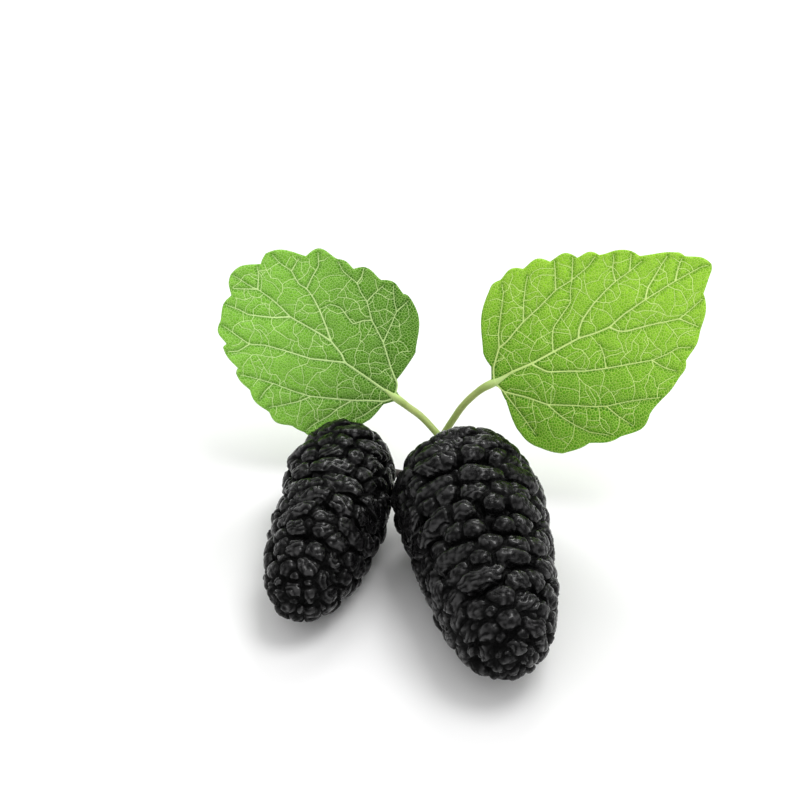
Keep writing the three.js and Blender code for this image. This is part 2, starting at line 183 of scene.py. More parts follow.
class Sketch:
    """Writes nodes into a tree and joins them by the names of their sockets."""

    def __init__(self, tree: NodeTree) -> None:
        """Keeps the tree that the nodes go into."""
        self.tree = tree

    def join(self, node: Node, inputs: dict) -> None:
        """Joins sockets to a node's inputs, or sets the inputs to values.

        Args:
            node: The node.
            inputs: For each input, by name or place, a socket, sockets or a value.
        """
        for key, value in inputs.items():
            socket = node.inputs[key] if isinstance(key, int) else self.enabled(node.inputs, key)
            for item in value if isinstance(value, list) else [value]:
                if isinstance(item, NodeSocket):
                    self.tree.links.new(item, socket)
                elif socket.type == "RGBA":
                    socket.default_value = (*item, 1)
                else:
                    socket.default_value = item

    def add(self, kind: str, inputs: dict | None = None, **settings: object) -> Node:
        """Adds one node.

        Args:
            kind: The node's type.
            inputs: For each input, by name or place, a socket to join to it or its value.
            settings: Properties of the node, set before its inputs.

        Returns:
            The node.
        """
        node = self.tree.nodes.new(kind)
        for name, value in settings.items():
            setattr(node, name, value)
        self.join(node, inputs or {})
        return node

    def out(self, kind: str, inputs: dict | None = None, **settings: object) -> NodeSocket:
        """Adds one node as add() does, and returns its first output in use."""
        node = self.add(kind, inputs, **settings)
        return next(socket for socket in node.outputs if socket.enabled)

    def math(self, operation: str, *values: object) -> NodeSocket:
        """Returns the result of a Math node on one, two or three values or sockets."""
        return self.out("ShaderNodeMath", dict(enumerate(values)), operation=operation)

    def times(self, first: object, second: object) -> NodeSocket:
        """Returns the product of two values or sockets."""
        return self.math("MULTIPLY", first, second)

    def ramp(self, value: NodeSocket, low: float, high: object, start: float = 0,
             end: float = 1) -> NodeSocket:
        """Returns a smooth ramp of a value, from start at low to end at high."""
        ends = {"Value": value, "From Min": low, "From Max": high, "To Min": start, "To Max": end}
        return self.out("ShaderNodeMapRange", ends, interpolation_type="SMOOTHSTEP")

    def blend(self, share: object, first: object, second: object,
              mode: str = "MIX") -> NodeSocket:
        """Returns a blend of two colours, with the share of the second a value or a socket."""
        inputs = {"Factor": share, "A": first, "B": second}
        return self.out("ShaderNodeMix", inputs, data_type="RGBA", blend_type=mode, clamp_result=False)

    def bump(self, height: NodeSocket, distance: float, strength: float, **more: NodeSocket) -> NodeSocket:
        """Returns the normal that a height gives a surface, over another Normal if one is given."""
        inputs = {"Height": height, "Distance": distance, "Strength": strength}
        return self.out("ShaderNodeBump", inputs | more)

    def mask(self, name: str) -> NodeSocket:
        """Returns an attribute of the surface as a number, for a material."""
        return self.add("ShaderNodeAttribute", attribute_name=name).outputs["Fac"]

    def stored(self, name: str, kind: str = "FLOAT") -> NodeSocket:
        """Returns an attribute of the points, for Geometry Nodes."""
        return self.out("GeometryNodeInputNamedAttribute", {"Name": name}, data_type=kind)

    def place(self) -> NodeSocket:
        """Returns the place on the object, for a material."""
        return self.add("ShaderNodeTexCoord").outputs["Object"]

    def tone(self, mottle: NodeTree, patches: float, grain: float) -> list[NodeSocket]:
        """Adds the group for uneven tone at its two scales.

        Args:
            mottle: The group.
            patches: Scale of the slow tone.
            grain: Scale of the fine grain.

        Returns:
            Sockets of the tone and the grain.
        """
        scales = {"Patch Scale": patches, "Grain Scale": grain}
        node = self.add("ShaderNodeGroup", scales, node_tree=mottle)
        return list(node.outputs)

    def dress(self, geometry: object, finish: NodeSocket, result: Node) -> None:
        """Makes instances real, sets their material and puts the geometry out."""
        real = self.out("GeometryNodeRealizeInstances", {"Geometry": geometry})
        self.join(result, {0: self.out("GeometryNodeSetMaterial", {"Geometry": real, "Material": finish})})

    @staticmethod
    def enabled(sockets: bpy.types.bpy_prop_collection, name: str) -> NodeSocket:
        """Returns the socket of that name that is in use."""
        return next(socket for socket in sockets if socket.name == name and socket.enabled)


def new_group(name: str, kind: str, inputs: dict[str, tuple], outputs: dict[str, str]) -> tuple:
    """Empty node group with named inputs and outputs.

    Args:
        name: Name of the group.
        kind: Geometry or Shader.
        inputs: For each input its type and, where it has one, its first value.
        outputs: For each output its type.

    Returns:
        The sketch of the group, its given outputs and its result node.
    """
    tree = bpy.data.node_groups.new(name, f"{kind}NodeTree")
    for label, (socket_type, *first) in inputs.items():
        socket = tree.interface.new_socket(label, in_out="INPUT", socket_type=f"NodeSocket{socket_type}")
        if first:
            socket.default_value = first[0]
    for label, socket_type in outputs.items():
        tree.interface.new_socket(label, in_out="OUTPUT", socket_type=f"NodeSocket{socket_type}")
    sketch = Sketch(tree)
    return sketch, sketch.add("NodeGroupInput").outputs, sketch.add("NodeGroupOutput")


def working_object(name: str, points: Array, edges: list = (), faces: list = ()) -> Object:
    """Object that is only worked on, in millimetres.

    Args:
        name: Name of the object.
        points: Its vertices.
        edges: Its loose edges.
        faces: Its faces.

    Returns:
        The object, linked to the scene.
    """
    mesh = bpy.data.meshes.new(name)
    mesh.from_pydata(np.asarray(points, float).tolist(), list(edges), list(faces))
    obj = bpy.data.objects.new(name, mesh)
    bpy.context.scene.collection.objects.link(obj)
    return obj


def mark(mesh: Mesh, **layers: Array) -> None:
    """Stores attributes of a mesh's vertices.

    Args:
        mesh: The mesh.
        layers: For each name its values: whole numbers, numbers, vectors or quaternions.
    """
    for name, values in layers.items():
        kind = {1: "FLOAT", 3: "FLOAT_VECTOR", 4: "QUATERNION"}[values[0].size]
        if values.dtype.kind == "i":
            kind = "INT"
        key = "vector" if kind == "FLOAT_VECTOR" else "value"
        mesh.attributes.new(name, kind, "POINT").data.foreach_set(key, values.ravel())


def run_nodes(obj: Object, tree: NodeTree, values: dict[str, object]) -> None:
    """Adds a Geometry Nodes modifier and sets its inputs by their identifiers.

    Args:
        obj: The object that gets the modifier.
        tree: The node tree.
        values: The value of each named input.
    """
    modifier = obj.modifiers.new(tree.name, "NODES")
    modifier.node_group = tree
    for item in tree.interface.items_tree:
        if item.in_out == "INPUT" and item.name in values:
            modifier[item.identifier] = values[item.name]


def settle(obj: Object, name: str) -> Object:
    """Turns an object and its modifiers into a plain mesh.

    Args:
        obj: The object, which is removed.
        name: Name of the plain object.

    Returns:
        The plain object, with no modifier.
    """
    graph = bpy.context.evaluated_depsgraph_get()
    mesh = bpy.data.meshes.new_from_object(obj.evaluated_get(graph))
    mesh.name = name
    discard(obj)
    plain = bpy.data.objects.new(name, mesh)
    bpy.context.scene.collection.objects.link(plain)
    return plain


def discard(obj: Object) -> None:
    """Removes a working object and its mesh.

    Args:
        obj: The object.
    """
    mesh = obj.data
    bpy.data.objects.remove(obj)
    bpy.data.meshes.remove(mesh)


def vertices_of(mesh: Mesh) -> tuple[Array, Array]:
    """Reads the vertices of a mesh.

    Args:
        mesh: The mesh.

    Returns:
        Their places and their normals.
    """
    places = np.empty(len(mesh.vertices) * 3, np.float32)
    normals = np.empty(len(mesh.vertices) * 3, np.float32)
    mesh.vertices.foreach_get("co", places)
    mesh.vertex_normals.foreach_get("vector", normals)
    return places.reshape(-1, 3).astype(float), normals.reshape(-1, 3).astype(float)


def melt(obj: Object, name: str, voxel: float, rounds: int) -> Object:
    """Melts overlapping bodies into one closed skin.

    Args:
        obj: The object with the bodies, which is removed.
        name: Name of the new object.
        voxel: Size of the skin's faces.
        rounds: How often the skin is smoothed.

    Returns:
        The object with the skin.
    """
    remesh = obj.modifiers.new("skin", "REMESH")
    remesh.mode = "VOXEL"
    remesh.voxel_size = voxel
    remesh.use_smooth_shade = True
    smooth = obj.modifiers.new("soften", "SMOOTH")
    smooth.factor = 0.5
    smooth.iterations = rounds
    return settle(obj, name)


def finish_piece(obj: Object, node: str, material: Material) -> None:
    """Args:
        obj: The piece, in millimetres.
        node: The solid that it stands for.
        material: Its material.
    """
    obj.data.transform(Matrix.Scale(MM, 4))
    obj.data.materials.clear()
    obj.data.materials.append(material)
    obj.data.polygons.foreach_set("use_smooth", [True] * len(obj.data.polygons))
    obj.data.update()
    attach(obj, BODY)
    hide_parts(node)
    obj.data.calc_loop_triangles()
    log.info("%s: %d triangles, for %s", obj.name, len(obj.data.loop_triangles), node)


def mottle_group() -> NodeTree:
    """Uneven tone that every natural surface here has.

    Returns:
        A group that puts out a slow Tone and a fine Grain, each from 0 to 1.
    """
    inputs = {"Patch Scale": ("Float",), "Grain Scale": ("Float",)}
    sketch, given, result = new_group("uneven tone", "Shader", inputs, {"Tone": "Float", "Grain": "Float"})
    place = sketch.place()
    for label, scale, detail in (("Tone", "Patch Scale", 3.0), ("Grain", "Grain Scale", 2.0)):
        field = sketch.out("ShaderNodeTexNoise", {"Vector": place, "Scale": given[scale], "Detail": detail})
        sketch.join(result, {label: sketch.ramp(field, *NOISE_RANGE)})
    return sketch.tree


def new_material(name: str) -> tuple[Material, Sketch, Node]:
    """Material with only a Principled shader and its output.

    Args:
        name: Name of the material.

    Returns:
        The material, the sketch of its nodes and its shader.
    """
    material = bpy.data.materials.new(name)
    material.use_nodes = True
    material.node_tree.nodes.clear()
    sketch = Sketch(material.node_tree)
    shader = sketch.add("ShaderNodeBsdfPrincipled")
    sketch.add("ShaderNodeOutputMaterial", {"Surface": shader.outputs["BSDF"]})
    return material, sketch, shader


@dataclass(frozen=True)
class BerryFinish:
    """Near-black berry skin: satin tops, dull creases in painted shade, painted highlights on fold ridges."""

    # top is the skin's own near-black; the crease colour is painted shade in the creases and fold valleys,
    # and the ridge colour a painted highlight on the fold ridges.
    top: Colour = (0.0022, 0.0021, 0.0023)
    ridge: Colour = (0.018, 0.017, 0.018)
    crease: Colour = (0.0005, 0.0005, 0.0005)
    smooth: float = 0.18
    rough: float = 0.34
    dull: float = 0.75
    specular: float = 0.09
    coat: float = 1.0
    coat_roughness: float = 0.17
    patch_scale: float = 420.0
    grain_scale: float = 3800.0
    grain_height: float = 0.00002
    grain_strength: float = 0.5
    fold_scale: float = 1500.0
    fold_twist: float = 0.8
    fold_height: float = 0.00045
    fold_strength: float = 0.7

    def material(self, mottle: NodeTree) -> Material:
        """Builds the material.

        Args:
            mottle: The group for uneven tone.

        Returns:
            The material.
        """
        material, sketch, shader = new_material("ripe berry skin")
        tone, grain = sketch.tone(mottle, self.patch_scale, self.grain_scale)
        open_share, ridge = sketch.mask("open"), sketch.mask("ridge")
        # Painted highlight: the ridge mask lifts the colour towards the brighter ridge colour on the fold
        # ridges.
        colour = sketch.blend(sketch.times(ridge, tone), self.top, self.ridge)
        shut = sketch.math("SUBTRACT", 1.0, open_share)
        rough = sketch.ramp(tone, 0, 1, self.smooth, self.rough)
        folds = sketch.out("ShaderNodeTexNoise", {
            "Vector": sketch.place(), "Scale": self.fold_scale, "Detail": 2.0, "Distortion": self.fold_twist,
        })
        folds = sketch.math("ABSOLUTE", sketch.math("SUBTRACT", folds, 0.5))
        bump = sketch.bump(folds, self.fold_height, self.fold_strength)
        bump = sketch.bump(grain, self.grain_height, self.grain_strength, Normal=bump)
        sketch.join(shader, {
            # Painted shade: where the open mask is low, in creases and fold valleys, the colour drops to the
            # crease colour.
            "Base Color": sketch.blend(open_share, self.crease, colour),
            "Roughness": sketch.math("MULTIPLY_ADD", shut, self.dull - self.rough, rough),
            "Coat Weight": sketch.times(sketch.times(open_share, ridge), self.coat),
            "Coat Roughness": self.coat_roughness, "Specular IOR Level": self.specular, "Normal": bump,
        })
        return material


@dataclass(frozen=True)
class BerryForm:
    """Driving sizes of one berry, as its solid has them, and how fine its skin is."""

    node: str
    base: Point
    middle: Point
    tip: Point
    radius: float
    taper: float
    shoulder: float
    bluntness: float
    nose: float
    row_step: float
    drupelet_width: float
    relief: float
    turn: float
    seed: int
    voxel: float


LARGE_BERRY = BerryForm(
    node="berry_large", base=(-2.0, 13.55, 7.2), middle=(1.37, 0.65, 6.3), tip=(2.4, -12.25, 5.6),
    radius=7.27, taper=0.59, shoulder=0.26, bluntness=2.9, nose=0.24, row_step=2.05,
    drupelet_width=2.55, relief=0.85, turn=1.39, seed=11, voxel=0.146,
)
SMALL_BERRY = BerryForm(
    node="berry_small", base=(-12.44, 19.05, 5.68), middle=(-12.58, 7.43, 4.64),
    tip=(-17.16, -4.18, 4.76), radius=5.63, taper=0.77, shoulder=0.32, bluntness=2.3, nose=0.4, row_step=2.0,
    drupelet_width=2.35, relief=0.75, turn=0.1, seed=23, voxel=0.12,
)


@dataclass(frozen=True)
class Seed:
    """One drupelet's place on the berry, its directions, its size and its form."""

    point: Array
    around: Array
    along: Array
    normal: Array
    width: float
    length: float
    height: float
    form: Drupelet
    fold_turn: float
    fold_phase: float


@dataclass(frozen=True)
class Berry:
    """A ripe berry: drupelets in staggered rows over a core, pressed flat where it lies."""

    form: BerryForm
    jitter: float = 0.16
    small_drupelet: float = 0.6
    nose_bluntness: float = 2.3
    taper_start: float = 0.25
    taper_power: float = 1.3
    meridian_steps: int = 400
    probe: float = 0.001
    fewest: int = 5
    least_height: float = 0.85
    height_spread: float = 0.15
    stray_along: float = 0.26
    stray_around: float = 0.18
    merged_share: float = 0.34
    merged_width: float = 1.72
    merged_end: float = 0.78
    filler_share: float = 0.12
    filler_size: float = 0.62
    filler_ramp: Pair = (0.75, 0.9)
    last_filler: float = 0.99
    curled_from: float = 0.93
    pillow_share: float = 0.36
    round_share: float = 0.14
    fold_turn: float = 34.0
    soften_rounds: int = 1
    drupelet_depth: float = 1.3
    even_depth: Pair = (0.6, 0.4)
    core_sink: float = 0.5
    core_rings: int = 48
    core_sides: int = 40
    crease_width: float = 0.13
    crease_depth: float = 0.26
    fold_depth: float = 0.2
    fold_pitch: float = 0.64
    fold_wander: float = 1.6
    fold_uneven: Pair = (0.75, 0.9)
    fold_middle: float = 0.6
    fold_edge: Pair = (0.02, 0.25)
    fold_floor: Pair = (-0.6, -0.2)
    fold_open: Pair = (0.25, 0.75)
    open_edge: Pair = (0.02, 0.3)
    ridge_highlight_share: Triple = (0.24, 1.6, 1.1)
    wander_height: float = 0.09
    fine_height: float = 0.05

    def core_radius(self, t: float) -> float:
        """Radius of the berry under its drupelets.

        Args:
            t: Share of the length.

        Returns:
            The radius.
        """
        form = self.form
        thinned = max(0, (t - self.taper_start) / (1 - self.taper_start)) ** self.taper_power
        narrowing = 1 - (1 - form.taper) * thinned
        shoulder = self.cap(min(1, t / form.shoulder), form.bluntness)
        nose = self.cap(min(1, (1 - t) / form.nose), self.nose_bluntness)
        return (form.radius - form.relief) * narrowing * shoulder * nose

    @staticmethod
    def cap(share: float, power: float) -> float:
        """Returns the roundness of an end at a share of its length, squarer with the power."""
        return max(0, 1 - (1 - share) ** power) ** (1 / power)

    def axis(self, t: float) -> tuple[Array, Array]:
        """Place on the berry's axis.

        Args:
            t: Share of the length.

        Returns:
            The point and the direction of the axis.
        """
        base, middle, tip = (np.array(p) for p in (self.form.base, self.form.middle, self.form.tip))
        point = (1 - t) ** 2 * base + 2 * t * (1 - t) * middle + t**2 * tip
        return point, unit((1 - t) * (middle - base) + t * (tip - middle))

    def place(self, t: float, angle: float) -> tuple[Array, ...]:
        """Place on the core.

        Args:
            t: Share of the length, from the stalk end.
            angle: Angle round the axis.

        Returns:
            The point, the direction round the berry, the direction along it and the normal.
        """
        middle, tangent = self.axis(t)
        side = unit(np.cross(tangent, (0, 0, 1)))
        lift = np.cross(tangent, side)
        radial = side * math.cos(angle) + lift * math.sin(angle)
        before, after = max(0, t - self.probe), min(1, t + self.probe)
        rise = self.core_radius(after) - self.core_radius(before)
        run = (after - before) * math.dist(self.form.base, self.form.tip)
        normal = unit(radial * run - tangent * rise)
        around = unit(np.cross(tangent, radial))
        return middle + radial * self.core_radius(t), around, np.cross(normal, around), normal

    def rows(self) -> tuple[list[float], float]:
        """Spaces the rows of drupelets evenly along the berry's side.

        Returns:
            The shares of the length at the rows, and the distance from row to row.
        """
        step = 1 / self.meridian_steps
        length = math.dist(self.form.base, self.form.tip) * step
        shares = [i * step for i in range(self.meridian_steps + 1)]
        radii = [self.core_radius(t) for t in shares]
        run = np.cumsum([0, *(math.hypot(length, b - a) for a, b in zip(radii, radii[1:]))])
        count = round(run[-1] / self.form.row_step)
        return [shares[np.searchsorted(run, run[-1] * k / count)] for k in range(1, count)], run[-1] / count

    def seeds(self) -> list[Seed]:
        """Sets out the drupelets: staggered rows, and one at each end.

        Returns:
            A seed for each drupelet.
        """
        form, state = self.form, self.form.seed

        def draw() -> float:
            """Returns the next repeatable random number from 0 to 1."""
            nonlocal state
            state = (state * DRAW_FACTOR + DRAW_SHIFT) % DRAW_RANGE
            return state / DRAW_RANGE

        own = np.random.RandomState(form.seed)
        length = math.dist(form.base, form.tip)
        shares, step_along = self.rows()
        seeds = [self.seed(0, 0, step_along, step_along, 0, own)]
        phase = form.turn
        for t in shares:
            around = 2 * math.pi * (self.core_radius(t) + form.relief)
            count = max(self.fewest, round(around / form.drupelet_width))
            step = 2 * math.pi / count
            growth = min(1, self.small_drupelet + self.core_radius(t) / (2 * form.radius))
            phase += step / 2
            merged = False
            for i in range(count):
                angle = phase + (i + self.jitter * (2 * draw() - 1)) * step
                draw()
                height = growth * form.relief * (self.least_height + self.height_spread * draw())
                if merged:
                    merged = False
                    continue
                along, across = own.uniform(-1, 1, 2)
                room = np.array((around / count, step_along))
                if own.uniform() < self.merged_share and i < count - 1 and t < self.merged_end:
                    merged = True
                    angle += 0.5 * step
                    room[0] *= self.merged_width
                off = t + self.stray_along * along * step_along / length
                angle += self.stray_around * across * step
                seeds.append(self.seed(off, angle, *room, height, own))
                if own.uniform() < self.filler_share + smoothstep(np.float64(t), *self.filler_ramp):
                    off = min(self.last_filler, off + 0.5 * step_along / length)
                    seeds.append(self.seed(off, angle + 0.5 * step, *(self.filler_size * room), height, own))
        seeds.append(self.seed(1, 0, step_along, step_along, self.small_drupelet * form.relief, own))
        return seeds

    def seed(self, t: float, angle: float, width: float, length: float, height: float,
             own: np.random.RandomState) -> Seed:
        """Seed of one drupelet, with its form drawn at random.

        Args:
            t: Share of the berry's length.
            angle: Angle round the axis.
            width: Room that it has round the berry.
            length: Room that it has along the berry.
            height: How far its top stands off the core.
            own: Random numbers for the form.

        Returns:
            The seed.
        """
        point, around, along, normal = self.place(t, angle)
        chance, turn, fold_phase, stretch = own.uniform(size=4)
        if t > self.curled_from:
            form = Drupelet.CURLED
        elif chance < self.pillow_share:
            form = Drupelet.PILLOW
        elif chance < self.pillow_share + self.round_share:
            form = Drupelet.ROUND
        else:
            form = Drupelet.FOLDED
        wide, long, lift = GROWTH[form] + stretch * SPREAD[form]
        return Seed(
            point=point, around=around, along=along, normal=normal, width=width * wide,
            length=length * long, height=height + lift, form=form,
            fold_turn=math.radians(self.fold_turn * (2 * turn - 1)), fold_phase=2 * math.pi * fold_phase,
        )

    def blank(self, form: Drupelet) -> Object:
        """Rounded box of a few dozen faces and half size one, from which drupelets are made.

        Args:
            form: The drupelets' form.

        Returns:
            The object.
        """
        cuts = 3
        points, faces = [], []
        for axis in range(3):
            for side in (-1, 1):
                first = len(points)
                for i in range(cuts + 1):
                    for j in range(cuts + 1):
                        place = [2 * i / cuts - 1, 2 * j / cuts - 1]
                        place.insert(axis, side)
                        size = sum(abs(c) ** form.value for c in place) ** (1 / form.value)
                        points.append([c / size for c in place])
                for i in range(cuts):
                    for j in range(cuts):
                        a = first + i * (cuts + 1) + j
                        face = [a, a + 1, a + cuts + 2, a + cuts + 1]
                        outward = (side > 0) == (axis != 1)
                        faces.append(face[::-1] if outward else face)
        obj = working_object(f"blank_{form.name.lower()}", points, faces=faces)
        weld(obj.data)
        return obj

    def core(self, name: str) -> Object:
        """Smooth body under the drupelets, a little smaller than where they stand.

        Args:
            name: Name of the object.

        Returns:
            The object.
        """
        rings, sides = self.core_rings, self.core_sides
        points = [self.axis(0)[0]]
        for i in range(1, rings):
            t = 0.5 - 0.5 * math.cos(math.pi * i / rings)
            middle, _ = self.axis(t)
            for k in range(sides):
                point = self.place(t, 2 * math.pi * k / sides)[0]
                points.append(point + (middle - point) * min(1, self.core_sink / self.core_radius(t)))
        points.append(self.axis(1)[0])
        last = len(points) - 1
        faces = []
        for k in range(sides):
            n = (k + 1) % sides
            faces.append([0, 1 + k, 1 + n])
            faces.append([last, last - sides + n, last - sides + k])
            for a in range(1, last - sides, sides):
                faces.append([a + k, a + sides + k, a + sides + n, a + n])
        return working_object(name, points, faces=faces)

    def build(self, tree: NodeTree, material: Material) -> None:
        """Builds the berry.

        Args:
            tree: The node tree that sets drupelets on their seeds.
            material: The skin's material.
        """
        seeds = self.seeds()
        depth = self.drupelet_depth * self.form.relief / LARGE_BERRY.relief
        even, grown = self.even_depth
        sizes = np.array([(s.width / 2, s.length / 2, depth * (even + grown * s.length / self.form.row_step))
                          for s in seeds])
        centres = np.array([s.point + s.normal * (s.height - size[2]) for s, size in zip(seeds, sizes)])
        turns = [Matrix(np.stack([s.around, s.along, s.normal], axis=1)).to_quaternion() for s in seeds]
        obj = working_object(f"{self.form.node}_seeds", centres)
        mark(obj.data, size=sizes, turn=np.array(turns), form=np.array([s.form.index for s in seeds]))
        blanks = {form: self.blank(form) for form in Drupelet}
        core = self.core(f"{self.form.node}_core")
        values = {form.name.title(): blank for form, blank in blanks.items()}
        run_nodes(obj, tree, values | {"Core": core, "Seed": self.form.seed, "Skin": material})
        bodies = settle(obj, f"{self.form.node}_bodies")
        for helper in (core, *blanks.values()):
            discard(helper)
        berry = melt(bodies, self.form.node + "_skin", self.form.voxel, self.soften_rounds)
        self.wrinkle(berry.data, seeds)
        finish_piece(berry, self.form.node, material)

    def wrinkle(self, mesh: Mesh, seeds: list[Seed]) -> None:
        """Cuts the creases deeper, folds the drupelets and presses the lowest ones flat.

        Args:
            mesh: The skin, in millimetres.
            seeds: The drupelets' seeds.
        """
        places, normals = vertices_of(mesh)
        tops = np.array([s.point + s.normal * (0.5 * s.height) for s in seeds])
        axes = np.array([(s.around, s.along, s.normal) for s in seeds])
        halves = np.array([(s.width / 2, s.length / 2, self.drupelet_depth) for s in seeds])
        nearest, border = nearest_cells(places, tops, axes, halves)
        axes = axes[nearest]
        offset = places - tops[nearest]
        across = np.einsum("ij,ij->i", offset, axes[:, 0])
        along = np.einsum("ij,ij->i", offset, axes[:, 1])
        turn, phase, deep = np.array([(s.fold_turn, s.fold_phase, FOLDING[s.form]) for s in seeds])[nearest].T
        wander = noise_of(places * WANDER[0], WANDER[1])
        fine = noise_of(places * FINE[0], FINE[1])
        course = (along * np.cos(turn) + across * np.sin(turn)) / self.fold_pitch + self.fold_wander * wander
        level, spread = self.fold_uneven
        uneven = level + spread * noise_of(places * UNEVEN[0], UNEVEN[1])
        folds = uneven * (np.abs(np.sin(math.pi * course + phase)) - self.fold_middle)
        inner = smoothstep(border, *self.fold_edge)
        crease = np.exp(-((border / self.crease_width) ** 2))
        push = self.fold_depth * deep * folds * inner - self.crease_depth * crease
        push += self.wander_height * wander + self.fine_height * fine
        moved = places + normals * push[:, None]
        moved[:, 2] = np.maximum(moved[:, 2], 0)
        mesh.vertices.foreach_set("co", moved.ravel())
        mesh.update()
        # Painted shade: the open mask is low in the creases and the fold valleys, where the skin is coloured
        # darker.
        bare = 1 - deep * (1 - smoothstep(folds, *self.fold_floor))
        shut, top = self.fold_open
        # Painted highlight: the ridge mask is high on the fold ridges, where the skin is coloured brighter.
        level, folded, rough = self.ridge_highlight_share
        mark(mesh, open=smoothstep(border, *self.open_edge) * (shut + top * bare),
             ridge=np.clip(level + folded * deep * folds + rough * fine, 0, 1))


def weld(mesh: Mesh) -> None:
    """Merges the vertices of a mesh that lie on each other, and turns its faces outwards.

    Args:
        mesh: The mesh.
    """
    work = bmesh.new()
    work.from_mesh(mesh)
    bmesh.ops.remove_doubles(work, verts=work.verts, dist=WELD_GAP)
    bmesh.ops.recalc_face_normals(work, faces=work.faces)
    work.to_mesh(mesh)
    work.free()


def nearest_cells(places: Array, centres: Array, axes: Array, halves: Array,
                  batch: int = 4096, close: int = 6) -> tuple[Array, Array]:
    """Finds the cell in which each place lies, every cell measured in its own sizes.

    Args:
        places: The places.
        centres: Middles of the cells.
        axes: Three directions of each cell.
        halves: Half sizes of each cell in those directions.
        batch: How many places are worked on at a time.
        close: How many of the closest cells are looked at.

    Returns:
        The row of the cell, and about how far its border is.
    """
    rows, borders = [], []
    scaled = axes / halves[:, :, None]
    for start in range(0, len(places), batch):
        gaps = places[start:start + batch, None, :] - centres[None, :, :]
        near = np.argpartition((gaps**2).sum(axis=2), close, axis=1)[:, :close]
        gaps = np.take_along_axis(gaps, near[..., None], axis=1)
        sizes = np.linalg.norm(np.einsum("pkij,pkj->pki", scaled[near], gaps), axis=2)
        order = np.argsort(sizes, axis=1)[:, :2]
        first, second = np.take_along_axis(sizes, order, axis=1).T
        row = np.take_along_axis(near, order, axis=1)[:, 0]
        rows.append(row)
        borders.append((second - first) / 2 * halves[row, :2].mean(axis=1))
    return np.concatenate(rows), np.concatenate(borders)


def noise_of(places: Array, shift: float) -> Array:
    """Returns smooth noise from about -1 to 1 at some places, in a pattern set by the shift."""
    return np.array([noise.noise(Vector(place) + Vector((shift, shift, shift))) for place in places])


def drupelet_tree() -> NodeTree:
    """Node tree that sets a rounded blank on each seed of a berry, by the seed's form.

    Returns:
        The tree. Its seeds carry a size, a turn and a form.
    """
    inputs = {"Seeds": ("Geometry",), "Core": ("Object",)}
    inputs |= {form.name.title(): ("Object",) for form in Drupelet}
    inputs |= {"Smoothness": ("Int", 2), "Lean": ("Float", 0.2), "Spin": ("Float", 0.4),
               "Seed": ("Int",), "Skin": ("Material",)}
    sketch, given, result = new_group("drupelets on seeds", "Geometry", inputs, {"Berry": "Geometry"})
    size, turn, form_of = (sketch.stored(*layer) for layer in
                           (("size", "FLOAT_VECTOR"), ("turn", "QUATERNION"), ("form", "INT")))
    most = sketch.out("ShaderNodeCombineXYZ", {0: given["Lean"], 1: given["Lean"], 2: given["Spin"]})
    least = sketch.out("ShaderNodeVectorMath", {0: most, "Scale": -1.0}, operation="SCALE")
    draw = {"Min": least, "Max": most, "Seed": given["Seed"]}
    angles = sketch.out("FunctionNodeRandomValue", draw, data_type="FLOAT_VECTOR")
    nudge = sketch.out("FunctionNodeEulerToRotation", {0: angles})
    turned = sketch.out("FunctionNodeRotateRotation", {0: turn, 1: nudge}, rotation_space="LOCAL")
    sets = []
    for form in Drupelet:
        blank = sketch.add("GeometryNodeObjectInfo", {"Object": given[form.name.title()]})
        values = {"Mesh": blank.outputs["Geometry"], "Level": given["Smoothness"]}
        smooth = sketch.out("GeometryNodeSubdivisionSurface", values)
        values = {2: form_of, 3: form.index}
        chosen = sketch.out("FunctionNodeCompare", values, data_type="INT", operation="EQUAL")
        sets.append(sketch.out("GeometryNodeInstanceOnPoints", {
            "Points": given["Seeds"], "Selection": chosen, "Instance": smooth,
            "Rotation": turned, "Scale": size,
        }))
    core = sketch.add("GeometryNodeObjectInfo", {"Object": given["Core"]}).outputs["Geometry"]
    joined = sketch.out("GeometryNodeJoinGeometry", {"Geometry": [*sets, core]})
    sketch.dress(joined, given["Skin"], result)
    return sketch.tree


def limb_tree() -> NodeTree:
    """Node tree that makes round limbs along paths, such as stalks and ribs.

    Returns:
        The tree. The paths are loose edges, and their points carry a thickness.
    """
    inputs = {"Paths": ("Geometry",), "Sides": ("Int",), "Finish": ("Material",)}
    sketch, given, result = new_group("limbs along paths", "Geometry", inputs, {"Limbs": "Geometry"})
    curve = sketch.out("GeometryNodeMeshToCurve", {"Mesh": given["Paths"]})
    ring = {"Resolution": given["Sides"], "Radius": 1.0}
    tube = sketch.out("GeometryNodeCurveToMesh", {
        "Curve": curve, "Profile Curve": sketch.out("GeometryNodeCurvePrimitiveCircle", ring),
        "Scale": sketch.stored("thickness"), "Fill Caps": True,
    })
    sketch.dress(tube, given["Finish"], result)
    return sketch.tree


def limbs(name: str, paths: list[tuple[Array, Array]], tree: NodeTree, sides: int,
          material: Material) -> Object:
    """Round limbs along some paths.

    Args:
        name: Name of the object.
        paths: For each limb its points and its radius at each of them.
        tree: The node tree for limbs.
        sides: Faces round a limb.
        material: The limbs' material.

    Returns:
        The object with the limbs, as a plain mesh.
    """
    points, radii, edges = [], [], []
    for path, thickness in paths:
        first = len(points)
        points.extend(path)
        radii.extend(thickness)
        edges.extend((i, i + 1) for i in range(first, len(points) - 1))
    obj = working_object(name, np.array(points), edges=edges)
    mark(obj.data, thickness=np.array(radii))
    run_nodes(obj, tree, {"Sides": sides, "Finish": material})
    return settle(obj, name)


@dataclass(frozen=True)
class Vein:
    """Course of a vein on the blade, in leaf coordinates, and its half width at its start."""

    course: tuple[Flat, ...]
    width: float


